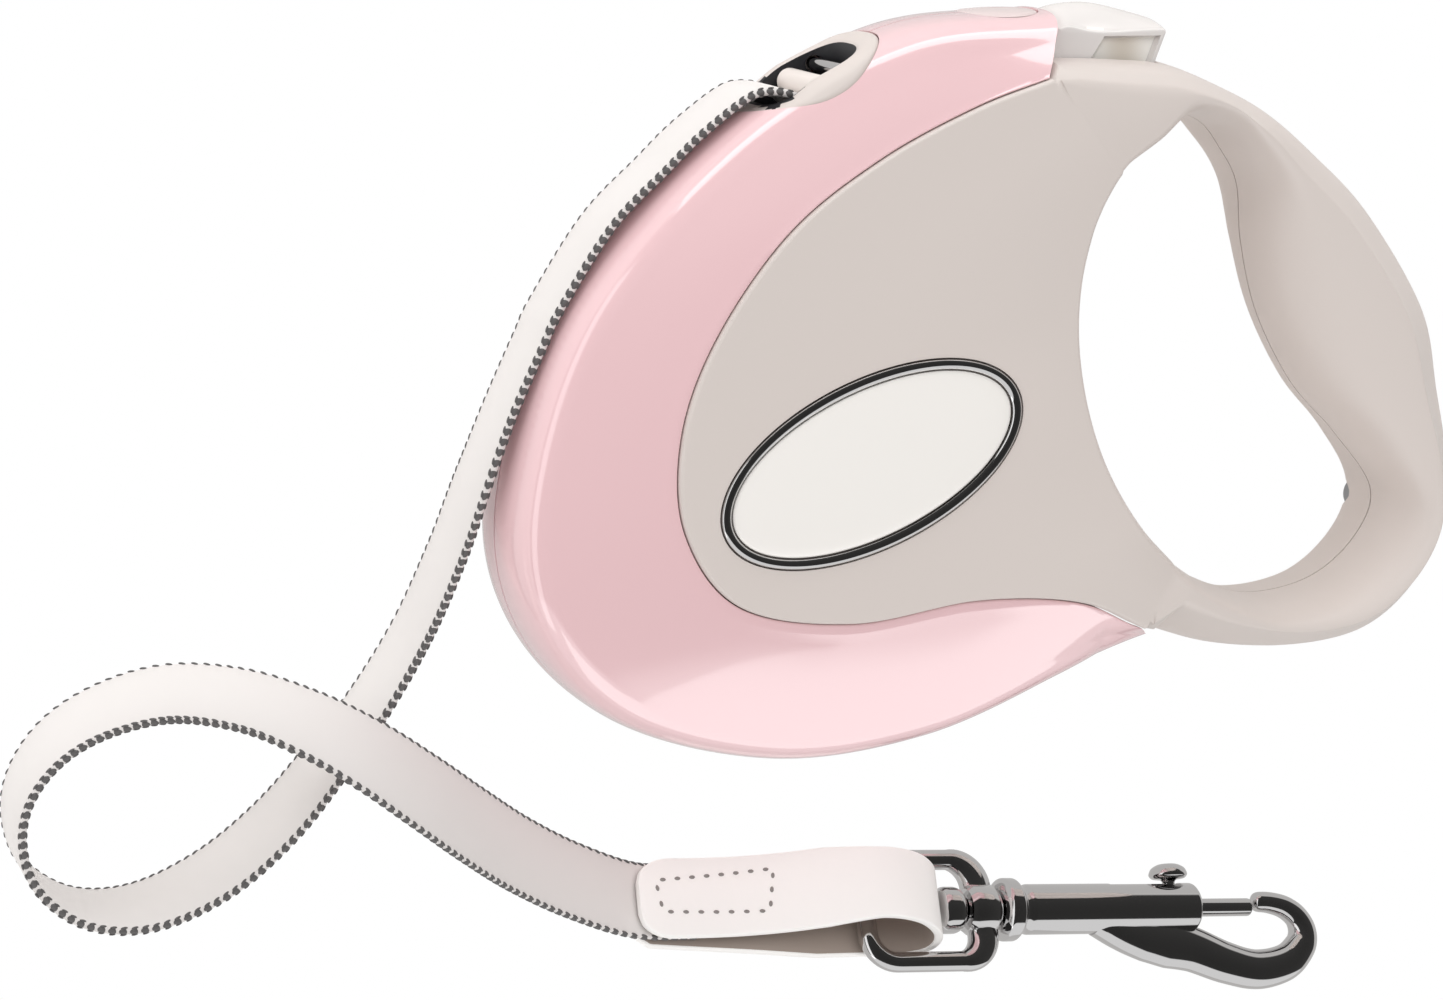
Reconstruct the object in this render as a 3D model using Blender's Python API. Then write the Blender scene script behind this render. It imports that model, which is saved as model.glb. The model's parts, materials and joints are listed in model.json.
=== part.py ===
# Retractable tape leash lying on its rear face, with its reel, brake, tape and swivel snap hook.
import math

import bmesh
import bpy
import numpy as np
from mathutils import Matrix, Vector

MM = 0.001

# Driving dimensions in millimetres. x and y run from a datum beside the drum, z from the table.
MID = 16.0            # height of the mould split, half the thickness of the housing
SPLIT = 0.15          # half the gap between the front and rear mouldings
GAP = 0.3             # clearance between pieces that meet
PLATE_WALL = 2.4      # wall of the side plate
HOLE_WALL = 2.8       # wall between the drum chamber and the finger hole
COVER_WALL = 2.0      # wall of the crescent covers
COVER_SET = 0.7       # the cover's edge lies this far below the side plate
RIM_DEPTH = 5.0       # the rounded rim of the covers, seen in plan
RIM_HEIGHT = 11.8     # height of the rim's shoulder above the split
PLATE_ROUND = 2.6     # rounding of the side plate into the finger hole
PLATE_EDGE = 0.7      # rounding of the side plate's outer edge

AXLE = (1.0, -4.0)
AXLE_RADIUS = 3.0
DRUM_RADIUS = 20.0
DRUM_INNER = 18.6
FLANGE_RADIUS = 38.5
TOOTH_TIP = 39.0
TOOTH_ROOT = 36.2
TOOTH_COUNT = 24
TOOTH_GAP_AT = 33.2   # degrees, where the brake's tooth drops in
WINDING_RADIUS = 35.5

TAPE_WIDTH = 12.0
TAPE_THICK = 1.2
BRAKE_TRAVEL = 2.8
EYE_ROLL = 35.0       # degrees that the leather tab and the eye lean over on the table
HOOK_ROLL = 22.0

# Handle stations from the button round to the lower tip of the cover. Each row holds the finger hole
# x, y, the outer rim x, y, the rounding at the hole, the rounding at the rim, the rim's shoulder
# height, the width of the sloping face and the crest height above the split.
HANDLE = [
    (49.0, 35.5, 37.4, 52.6, 2.6, 2.0, 14.4, 3.6, 16.0),
    (54.5, 38.5, 48.0, 52.0, 3.2, 2.4, 14.0, 4.4, 15.6),
    (61.0, 42.5, 57.0, 51.0, 3.6, 2.8, 13.2, 4.4, 14.6),
    (67.5, 41.0, 66.5, 47.5, 3.0, 2.8, 12.6, 3.4, 13.5),
    (71.5, 36.5, 75.5, 43.0, 3.2, 3.6, 12.6, 4.0, 13.0),
    (74.5, 31.0, 84.5, 36.0, 5.2, 5.0, 12.6, 5.6, 13.0),
    (75.5, 22.0, 94.5, 26.5, 12.0, 6.0, 12.6, 6.7, 13.2),
    (78.5, 11.0, 105.0, 11.0, 17.0, 6.8, 12.7, 7.5, 13.4),
    (85.0, -0.5, 108.5, -2.0, 15.4, 6.6, 12.7, 7.1, 13.4),
    (93.0, -9.0, 111.0, -15.0, 11.6, 6.2, 12.6, 6.6, 13.3),
    (100.0, -18.5, 109.0, -25.0, 6.2, 4.2, 12.4, 4.6, 13.2),
    (97.5, -26.0, 104.0, -34.0, 5.4, 4.2, 12.3, 4.6, 13.0),
    (89.5, -32.0, 95.5, -40.0, 5.0, 4.2, 12.3, 4.6, 13.0),
    (78.0, -33.5, 83.0, -41.5, 4.2, 4.4, 12.4, 4.9, 13.2),
    (68.0, -30.0, 69.5, -40.0, 3.4, 4.6, 12.3, 5.4, 13.8),
    (61.0, -25.5, 57.5, -36.0, 2.8, 4.0, 11.8, 5.5, 14.6),
]

# Side plate stations from that tip round to the button: finger hole x, y, plate edge x, y, crest height
PLATE = [
    (59.0, -23.5, 53.0, -34.0, 14.4),
    (54.0, -18.5, 41.0, -28.5, 15.8),
    (50.0, -13.0, 24.0, -26.7, 16.0),
    (46.5, -6.5, 4.0, -28.4, 16.0),
    (44.0, 0.5, -13.6, -24.4, 16.0),
    (42.5, 7.5, -22.0, -13.0, 16.0),
    (42.0, 14.0, -22.6, 1.0, 16.0),
    (42.5, 20.5, -17.2, 15.0, 16.0),
    (44.0, 26.5, -6.0, 29.5, 16.0),
    (45.5, 30.0, 8.0, 39.3, 16.0),
    (47.0, 32.5, 23.0, 46.2, 16.0),
    (48.0, 34.0, 35.0, 50.0, 16.0),
]

# The covers' outer rim at the split, from the button round to the lower tip
COVER = [
    (40.5, 59.0), (15.0, 57.0), (-11.5, 44.0), (-35.4, 19.8), (-45.2, -7.0), (-43.0, -27.0),
    (-29.5, -42.5), (-5.5, -50.5), (19.0, -49.5), (41.0, -42.5), (57.5, -36.0),
]

# The tape's route from the outlet to the leather tab: x, y, z of its middle and the lean of its width
# from upright in degrees, positive when the upper edge leans to the left of the way it runs
ROUTE = [
    (1.0, 46.3, 16.0, 0.0), (-1.0, 47.9, 16.0, 0.0), (-4.8, 48.8, 16.0, 0.0), (-8.6, 48.0, 16.0, 0.0),
    (-15.6, 43.2, 16.0, 0.0), (-21.0, 38.4, 16.0, 0.0), (-29.4, 30.6, 16.0, 0.0), (-37.5, 18.9, 16.0, 0.0),
    (-40.0, 14.0, 16.0, 0.0), (-44.4, 4.5, 15.6, 0.0), (-48.0, -5.5, 14.3, 2.0), (-51.2, -17.5, 10.4, 4.0),
    (-55.6, -29.5, 7.0, 6.0), (-62.3, -40.2, 6.3, 9.0), (-68.5, -47.7, 6.3, 13.0),
    (-76.4, -56.2, 6.3, 17.0), (-85.9, -63.2, 6.2, 19.0), (-96.6, -67.0, 6.2, 16.0),
    (-106.0, -66.0, 6.2, 10.0), (-112.8, -60.6, 6.2, 4.0), (-115.0, -53.3, 6.2, 0.0),
    (-113.5, -46.5, 6.3, -5.0), (-108.5, -40.5, 6.6, -12.0), (-101.0, -36.6, 7.4, -19.0),
    (-92.0, -34.8, 9.2, -26.0), (-82.5, -35.9, 13.0, -34.0), (-74.0, -39.3, 16.8, -43.0),
    (-66.0, -44.2, 18.8, -50.0), (-57.5, -50.8, 17.8, -55.0), (-49.0, -57.8, 14.4, -57.0),
    (-40.5, -64.4, 10.2, -57.0), (-31.0, -70.4, 7.2, -56.0), (-20.6, -75.2, 5.7, -55.0),
    (-11.2, -76.5, 5.8, -55.0),
]
TAPE_RINGS = 84

# The snap hook lies on the table: where its collar starts, its heading and its slope in degrees
COLLAR_AT = (40.1, -83.8, 6.6)
HOOK_HEADING = -6.9
HOOK_SLOPE = -2.0
TAB_HEADING = -7.4
TAB_SLOPE = 2.0
EYE_LEFT = -23.3      # the eye's two end bars along the hook's axis
EYE_RIGHT = -3.05
EYE_BAR = 1.6
EYE_HALF_WIDTH = 8.35
BARREL_END = 36.0
BOLT_TRAVEL = 10.0

SCREWS = [(104.2, -21.6), (79.4, 33.9), (59.8, -30.5)]
BADGE = {"at": (6.95, -4.7), "turn": 20.3, "long": 24.9, "short": 12.7, "ring": 1.5}


# Curves and meshes

def spline(rows, at, closed=False):
    """Reads a smooth curve through the rows at a parameter counted in rows."""
    points = np.asarray(rows, float)
    count = len(points)
    spans = count if closed else count - 1
    first = min(int(math.floor(at)), spans - 1)
    part = at - first
    if closed:
        a, b, c, d = (points[(first + step) % count] for step in (-1, 0, 1, 2))
    else:
        b, c = points[first], points[first + 1]
        a = points[first - 1] if first > 0 else 2 * b - c
        d = points[first + 2] if first + 2 < count else 2 * c - b
    return 0.5 * (2 * b + (c - a) * part + (2 * a - 5 * b + 4 * c - d) * part ** 2
                  + (3 * b - a - 3 * c + d) * part ** 3)


def even(rows, fractions):
    """Reads the curve through the rows at fractions of its length."""
    fine = np.array([spline(rows, at) for at in np.linspace(0, len(rows) - 1, 40 * len(rows))])
    run = np.concatenate([[0], np.cumsum(np.linalg.norm(np.diff(fine[:, :3], axis=0), axis=1))])
    return np.stack([np.interp(np.asarray(fractions) * run[-1], run, fine[:, axis])
                     for axis in range(fine.shape[1])], axis=1)


def unit(vector):
    vector = np.asarray(vector, float)
    return vector / np.linalg.norm(vector)


def circle(radius, z, sides):
    return [(radius * math.cos(turn), radius * math.sin(turn), z)
            for turn in np.linspace(0, 2 * math.pi, sides, endpoint=False)]


def skin(name, rings, closed=False, bent=False):
    """Joins rings of points in millimetres into one closed body, capped in strips where its wall is bent."""
    mesh_data = bmesh.new()
    rows = [[mesh_data.verts.new([float(value) * MM for value in point]) for point in ring] for ring in rings]
    pairs = list(zip(rows, rows[1:]))
    if closed:
        pairs.append((rows[-1], rows[0]))
    for near, far in pairs:
        for index in range(len(near)):
            after = (index + 1) % len(near)
            mesh_data.faces.new((near[index], near[after], far[after], far[index]))
    for row in () if closed else (rows[0], rows[-1]):
        if not bent:
            mesh_data.faces.new(row)
            continue
        for index in range(len(row) // 2 - 1):
            mesh_data.faces.new((row[index], row[index + 1], row[-2 - index], row[-1 - index]))
    bmesh.ops.triangulate(mesh_data, faces=mesh_data.faces)
    bmesh.ops.recalc_face_normals(mesh_data, faces=mesh_data.faces)
    mesh = bpy.data.meshes.new(name)
    mesh_data.to_mesh(mesh)
    mesh_data.free()
    mesh.shade_smooth()
    mesh.set_sharp_from_angle(angle=math.radians(35))
    piece = bpy.data.objects.new(name, mesh)
    bpy.context.collection.objects.link(piece)
    return piece


def stack(name, profile, sides, closed=False):
    """Turns a profile of (radius, z) about the local z axis."""
    return skin(name, [circle(radius, z, sides) for radius, z in profile], closed)


def prism(name, outline, low, high):
    """Raises a flat outline between two heights."""
    return skin(name, [[(x, y, low) for x, y in outline], [(x, y, high) for x, y in outline]])


def cut(piece, cutter, operation="DIFFERENCE"):
    """Takes a hidden cutter out of a piece, or joins a hidden lump to it."""
    cutter.hide_render = True
    cutter.display_type = "WIRE"
    cutter.parent = piece.parent
    modifier = piece.modifiers.new(cutter.name, "BOOLEAN")
    modifier.operation = operation
    modifier.object = cutter
    modifier.solver = "EXACT"


def paint(piece, name, colour, roughness, metallic=0.0):
    material = bpy.data.materials.get(name)
    if material is None:
        material = bpy.data.materials.new(name)
        material.use_nodes = True
        shader = material.node_tree.nodes["Principled BSDF"]
        shader.inputs["Base Color"].default_value = (*colour, 1.0)
        shader.inputs["Roughness"].default_value = roughness
        shader.inputs["Metallic"].default_value = metallic
    piece.data.materials.append(material)


def grey(piece):
    paint(piece, "warm_grey_abs", (0.66, 0.60, 0.57), 0.42)


def pink(piece):
    paint(piece, "gloss_pink_abs", (0.83, 0.55, 0.58), 0.12)


def chrome(piece):
    paint(piece, "bright_chrome", (0.82, 0.82, 0.83), 0.08, 1.0)


def steel(piece):
    paint(piece, "spring_steel", (0.45, 0.45, 0.46), 0.3, 1.0)


def acetal(piece):
    paint(piece, "dark_acetal", (0.05, 0.05, 0.055), 0.5)


def empty(name, parent, matrix):
    frame = bpy.data.objects.new(name, None)
    bpy.context.collection.objects.link(frame)
    frame.parent = parent
    frame.matrix_basis = matrix
    return frame


def lying_frame(origin, heading, slope, roll):
    """A frame with x along the piece, y across it and z out of its upper side, rolled towards +y."""
    turn = (Matrix.Rotation(math.radians(heading), 4, "Z") @ Matrix.Rotation(math.radians(-slope), 4, "Y")
            @ Matrix.Rotation(math.radians(-roll), 4, "X"))
    return Matrix.Translation(Vector(origin) * MM) @ turn


# Housing

def rim_curve(depth, height, slope, fullness):
    """The rounded rim: distance in from the edge and height, from the split up to the shoulder."""
    knots = np.array([(0.0, SPLIT), (0.0, fullness * height),
                      (0.35 * depth, height - 0.65 * depth * slope), (depth, height)])
    steps = np.linspace(0, 1, 6)[:, None]
    return ((1 - steps) ** 3 * knots[0] + 3 * steps * (1 - steps) ** 2 * knots[1]
            + 3 * steps ** 2 * (1 - steps) * knots[2] + steps ** 3 * knots[3])


def hole_round(hole, inward, width, crest):
    """The rounding from the split in the finger hole up to the crest."""
    return [(*(hole + inward * width * (1 - math.cos(turn))), SPLIT + (crest - SPLIT) * math.sin(turn))
            for turn in np.linspace(0, math.pi / 2, 6)]


def handle_section(hole, knee, rim, round_width, depth, shoulder, crest):
    """One closed section of the handle, from the finger hole over the knee to the rim and back."""
    inward = unit(knee - hole)
    back = unit(knee - rim)
    slope = (crest - shoulder) / (np.linalg.norm(knee - rim) - depth)
    section = hole_round(hole, inward, round_width, crest)
    section.append((*knee, crest))
    section += [(*(rim + back * inset), height) for inset, height in rim_curve(depth, shoulder, slope, 0.66)[::-1]]
    section += [(*(hole + (knee - hole) * part), SPLIT) for part in (1.0, 0.66, 0.33)]
    return section


def plate_section(hole, edge, crest):
    """One closed section of the side plate with the wall that it turns down along the finger hole."""
    inward = unit(edge - hole)
    section = hole_round(hole, inward, PLATE_ROUND, crest)
    section.append((*(edge - inward * 2 * PLATE_EDGE), crest))
    for turn in np.linspace(math.pi / 2, 0, 6):
        section.append((*(edge - inward * PLATE_EDGE * (1 - math.cos(turn))),
                        crest - PLATE_EDGE * (1 - math.sin(turn))))
    under = crest - PLATE_WALL
    section.append((*edge, under))
    section.append((*(hole + inward * HOLE_WALL), under))
    section.append((*(hole + inward * HOLE_WALL), SPLIT))
    return section


def shoulder(plate_row, handle_row, next_row):
    """Where the handle's end face meets the side plate's edge and the rim."""
    edge = np.array(plate_row[2:4])
    rim = np.array(handle_row[2:4])
    knee = edge + 1.2 * unit(np.array(plate_row[:2]) - edge) + 0.8 * unit(rim - edge)
    return knee, rim + GAP * unit(rim - np.array(next_row[2:4]))


def frame_sections():
    """Sections right round the finger hole: the handle, then the side plate."""
    holes = [row[:2] for row in HANDLE + PLATE]
    rows = len(HANDLE)
    sections = []
    for at in np.linspace(0, rows - 1, 2 * rows + 1):
        row = spline(HANDLE, at)
        rim = row[2:4]
        hole = spline(holes, at, closed=True)
        knee = rim + unit(hole - rim) * row[7]
        sections.append(handle_section(hole, knee, rim, row[4], row[5], row[6], row[8]))
    knee, rim = shoulder(PLATE[0], HANDLE[-1], HANDLE[-2])
    sections.append(handle_section(spline(holes, rows - 0.6, closed=True), knee, rim, PLATE_ROUND, 1.9,
                                   RIM_HEIGHT, PLATE[0][4]))
    for at in np.linspace(0, len(PLATE) - 1, 2 * len(PLATE) - 3):
        row = spline(PLATE, at)
        sections.append(plate_section(spline(holes, rows + at, closed=True), row[2:4], min(row[4], MID)))
    knee, rim = shoulder(PLATE[-1], HANDLE[0], HANDLE[1])
    sections.append(handle_section(spline(holes, len(holes) - 0.5, closed=True), knee, rim, PLATE_ROUND,
                                   1.4, HANDLE[0][6], PLATE[-1][4]))
    return sections


def cover_sections():
    """Sections of a crescent cover from the button round to its lower tip."""
    fractions = np.linspace(0.003, 0.994, 46)
    rims = even(COVER, fractions)
    edges = even([row[2:] for row in PLATE[::-1]], fractions)
    sections = []
    for fraction, rim, (x, y, crest) in zip(fractions, rims, edges):
        back = unit(np.array((x, y)) - rim)
        clear = GAP * (1.5 + 30 * max(0.0, fraction - 0.95))
        face = np.linalg.norm(np.array((x, y)) - rim) - clear
        depth = min(RIM_DEPTH, 0.55 * face)
        wall = min(COVER_WALL, 0.28 * face)
        top = crest - COVER_SET
        slope = (top - RIM_HEIGHT) / (face - depth)
        outer = [tuple(point) for point in rim_curve(depth, RIM_HEIGHT, slope, 0.75)]
        inner = [(wall + 0.85 * inset, height * (1 - wall / RIM_HEIGHT)) for inset, height in outer[1:]]
        middle = (depth + face) / 2
        outer.append((middle, RIM_HEIGHT + slope * (middle - depth) + 0.25))
        outer.append((face, top))
        inner.append((middle, outer[-2][1] - wall))
        inner.append((face, top - wall))
        profile = outer + inner[::-1] + [(wall, SPLIT)]
        sections.append([(*(rim + back * inset), height) for inset, height in profile])
    return sections


def half(name, sections, side, closed):
    """One moulding of the housing, above the split for side 1 and below it for side -1."""
    rings = [[(x, y, MID + side * height) for x, y, height in ring] for ring in sections]
    return skin(name, rings, closed, bent=not closed)


def rim_frame(fraction):
    """A place on the covers' rim: its point, the way along the rim towards the handle and the way out."""
    near, far = even(COVER, [fraction - 0.004, fraction + 0.004])
    along = unit(near - far)
    return (near + far) / 2, along, np.array((-along[1], along[0]))


def oval(place, long, short, height, square=2.0, left_drop=0.0, sides=28):
    """A ring on the rim's crown that follows the crown's curve; square over 2 fills out its corners."""
    point, along, out = place
    crown = rim_curve(RIM_DEPTH, RIM_HEIGHT, 0.35, 0.75)
    ring = []
    for turn in np.linspace(0, 2 * math.pi, sides, endpoint=False):
        t = long * math.copysign(abs(math.cos(turn)) ** (2 / square), math.cos(turn))
        z = short * math.copysign(abs(math.sin(turn)) ** (2 / square), math.sin(turn))
        fall = np.interp(abs(z), crown[:, 1], crown[:, 0])
        rise = height - t * t / 114 - fall - left_drop * min(1.0, max(0.0, -2 * math.cos(turn)))
        ring.append((*(point + along * t + out * rise), MID + z))
    return ring


def make_housing(root):
    frames = frame_sections()
    covers = cover_sections()
    pieces = {}
    for side, word in ((1, "front"), (-1, "rear")):
        pieces[word + "_frame_half"] = half(word + "_frame_half", frames, side, True)
        pieces[word + "_cover"] = half(word + "_cover", covers, side, False)
    for name, piece in pieces.items():
        piece.parent = root
        if "frame" in name:
            grey(piece)
        else:
            pink(piece)
    for side, word in ((1, "front"), (-1, "rear")):
        frame = pieces[word + "_frame_half"]
        face = 16.0 - PLATE_WALL
        boss = stack("axle_boss_" + word, [(6.5, MID + side * (face + 0.6)), (6.5, MID + side * (face - 4.0)),
                                           (AXLE_RADIUS + GAP, MID + side * (face - 4.0)),
                                           (AXLE_RADIUS + GAP, MID + side * (face + 0.6))], 32, closed=True)
        boss.location = (AXLE[0] * MM, AXLE[1] * MM, 0)
        cut(frame, boss, "UNION")
        cut_brake(frame, word)
        for index, (x, y) in enumerate(SCREWS):
            if side < 0:
                hole = stack("screw_seat_%d" % index, [(3.2, -1.0), (3.2, 8.0), (1.9, 8.0), (1.9, 17.0)], 20)
            else:
                hole = stack("screw_pilot_%d" % index, [(1.75, 15.0), (1.75, 24.0)], 16)
            hole.location = (x * MM, y * MM, 0)
            cut(frame, hole)
        for name, place, long, short, depth in (("outlet_hole", OUTLET, 11.6, 8.75, 9.0),
                                                ("outlet_seat", OUTLET, 12.35, 11.4, 1.4),
                                                ("inlay_seat", INLAY, 5.9, 6.8, 1.2)):
            opening = skin(name + "_" + word, [oval(place, long, short, rise, 2.3) for rise in (-depth, 4.0)])
            cut(pieces[word + "_cover"], opening)
    turn = math.radians(BADGE["turn"])
    seat = [(BADGE["at"][0] + x * math.cos(turn) - y * math.sin(turn),
             BADGE["at"][1] + x * math.sin(turn) + y * math.cos(turn))
            for x, y in ellipse(BADGE["long"] + GAP, BADGE["short"] + GAP)]
    cut(pieces["front_frame_half"], prism("badge_seat", seat, MID + 14.8, MID + 18.0))
    return pieces


def ellipse(long, short, sides=40):
    return [(long * math.cos(turn), short * math.sin(turn))
            for turn in np.linspace(0, 2 * math.pi, sides, endpoint=False)]


def make_badge(root):
    """A bare oval plate in a bright ring, let into the front side plate."""
    turn = math.radians(BADGE["turn"])
    frame = empty("badge_place", root, Matrix.Translation(Vector((*BADGE["at"], MID)) * MM)
                  @ Matrix.Rotation(turn, 4, "Z"))
    long, short, width = BADGE["long"], BADGE["short"], BADGE["ring"]
    steps = [(0.0, 15.1), (0.0, 16.2), (0.4, 16.5), (width - 0.4, 16.5), (width, 16.2), (width, 15.1)]
    ring = skin("badge_ring", [[(x, y, z) for x, y in ellipse(long - inset, short - inset)] for inset, z in steps],
                closed=True)
    ring.parent = frame
    chrome(ring)
    steps = [(0.0, 15.1), (0.0, 16.0), (0.5, 16.15), (4.0, 16.3), (8.0, 16.36)]
    plate = skin("badge_plate", [[(x, y, z) for x, y in ellipse(long - width - GAP - inset,
                                                                short - width - GAP - inset)]
                                 for inset, z in steps])
    plate.parent = frame
    paint(plate, "satin_silver", (0.86, 0.82, 0.79), 0.3, 0.6)


def make_screws(root):
    """Recessed screws that draw the rear half to the front half."""
    for index, (x, y) in enumerate(SCREWS):
        screw = stack("housing_screw_%d" % (index + 1),
                      [(2.5, 5.0), (2.8, 5.4), (2.8, 7.7), (1.45, 7.7), (1.45, 22.4), (0.8, 23.2)], 16)
        screw.location = (x * MM, y * MM, 0)
        screw.parent = root
        steel(screw)


# Brake: a button that slides into the shoulder of the handle, with a bar that reaches the reel's teeth

BUTTON_ALONG = unit((0.927, -0.375))
BUTTON_OUT = unit((0.375, 0.927))
BUTTON_START = np.array((42.5, 57.2))
BUTTON_FLOOR = -10.5
BUTTON_LOW = -7.4
BUTTON_HALF = 7.6
# The button's top from the cover to the grip: distance along, height at the flanks, height in the middle
BUTTON_TOP = [(-2.1, -1.6, 0.2), (-0.6, -0.6, 1.9), (2.4, -0.1, 3.5), (5.6, 0.8, 4.5), (9.6, 2.5, 5.1),
              (13.2, 4.0, 5.5), (14.5, 4.4, 5.5), (15.0, 3.8, 4.9)]
SCOOP = [(3.6, BUTTON_LOW - 1.0), (5.4, -0.1), (14.2, 3.2), (14.2, BUTTON_LOW - 1.0)]
SCOOP_DEPTH = 1.3
BAR_SIDES = (4.4, 9.0)
BAR_TIP = -38.1
BAR_HIGH = (22.5, 26.4)
SPRING_AT = 12.0


def on_button(s, h):
    """A place in plan from the distance along the shoulder and the height out of it."""
    return tuple(BUTTON_START + BUTTON_ALONG * s + BUTTON_OUT * h)


def button_block(name, outline, low, high):
    return prism(name, [on_button(s, h) for s, h in outline], low, high)


def box_outline(left, right, low, high):
    return [(left, low), (right, low), (right, high), (left, high)]


def cut_brake(frame, word):
    """The button's well and the slot that the brake bar slides in."""
    well = button_block("button_well_" + word, box_outline(-2.45, 15.35, BUTTON_FLOOR, 9.0),
                        MID - BUTTON_HALF - 0.4, MID + BUTTON_HALF + 0.4)
    cut(frame, well)
    left, right = BAR_SIDES
    slot = button_block("bar_slot_" + word, box_outline(left - 0.5, right + 0.5, -30.0, BUTTON_FLOOR + 1.0),
                        13.0, BAR_HIGH[1] + 0.5)
    cut(frame, slot)


def axis_frame(s, h, z):
    """A frame on the button whose local z points out along its stroke."""
    along = Vector((*BUTTON_ALONG, 0))
    out = Vector((*BUTTON_OUT, 0))
    turn = Matrix((along, out.cross(along), out)).transposed().to_4x4()
    return Matrix.Translation(Vector((*on_button(s, h), z)) * MM) @ turn


def helix(name, radius, wire, low, high, turns, per_turn=8, sides=4):
    """A round-wire spring along local z, with its least gap between neighbouring turns printed."""
    rings = []
    for at in np.linspace(0, 1, turns * per_turn + 1):
        turn = 2 * math.pi * turns * at
        z = low + wire + (high - low - 2 * wire) * at
        ring = []
        for part in np.linspace(0, 2 * math.pi, sides, endpoint=False):
            reach = radius + wire * math.cos(part)
            ring.append((reach * math.cos(turn), reach * math.sin(turn), z + wire * math.sin(part)))
        rings.append(ring)
    print(name, "least gap %.2f mm" % ((high - low - 2 * wire) / turns - 2 * wire))
    return skin(name, rings)


def make_brake(root):
    rings = []
    for z, inset in ((-BUTTON_HALF, 0.5), (0.6 - BUTTON_HALF, 0.0), (-4.2, 0.0), (0.0, 0.0), (4.2, 0.0),
                     (BUTTON_HALF - 0.6, 0.0), (BUTTON_HALF, 0.5)):
        crown = max(0.0, 1 - (z / (BUTTON_HALF - 0.6)) ** 2)
        outline = [(BUTTON_TOP[0][0] + inset, BUTTON_LOW)]
        for s, flank, middle in BUTTON_TOP:
            outline.append((s + (inset if s < 5 else -inset), flank + (middle - flank) * crown - inset))
        outline.append((BUTTON_TOP[-1][0] - inset, BUTTON_LOW))
        rings.append([(*on_button(s, h), MID + z) for s, h in outline])
    button = skin("brake_button", rings)
    button.parent = root
    paint(button, "pearl_chrome", (0.78, 0.74, 0.70), 0.22, 0.75)
    for side, word in ((1, "front"), (-1, "rear")):
        low, high = sorted((MID + side * (BUTTON_HALF - SCOOP_DEPTH), MID + side * (BUTTON_HALF + 1.0)))
        cut(button, button_block("button_scoop_" + word, SCOOP, low, high))
    well = stack("spring_well", [(2.1, BUTTON_LOW - 2.0), (2.1, 1.0)], 20)
    well.matrix_basis = axis_frame(SPRING_AT, 0.0, MID)
    cut(button, well)

    left, right = BAR_SIDES
    tongue = [(left, -10.8), (left, -35.4), (left + 1.0, BAR_TIP), (right - 1.0, BAR_TIP), (right, -35.4),
              (right, -10.8)]
    bar = button_block("brake_bar", tongue, BAR_HIGH[0], BAR_HIGH[1])
    bar.parent = root
    head = button_block("bar_head", box_outline(left, right, -13.5, BUTTON_LOW - GAP), 13.5, BAR_HIGH[0] + 1.0)
    cut(bar, head, "UNION")
    acetal(bar)

    spring = helix("brake_spring", 1.45, 0.25, BUTTON_FLOOR + GAP, 1.0 - GAP, 6)
    spring.matrix_basis = axis_frame(SPRING_AT, 0.0, MID)
    spring.parent = root
    steel(spring)

    steps = [(5.6, 6.5, -0.85), (5.6, 6.5, 0.1), (5.1, 6.0, 0.3), (2.3, 2.6, 0.3)]
    inlay = skin("button_inlay", [oval(INLAY, *step, 2.3) for step in steps])
    inlay.parent = root
    paint(inlay, "pearl_abs", (0.84, 0.72, 0.72), 0.25)


# Reel

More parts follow.
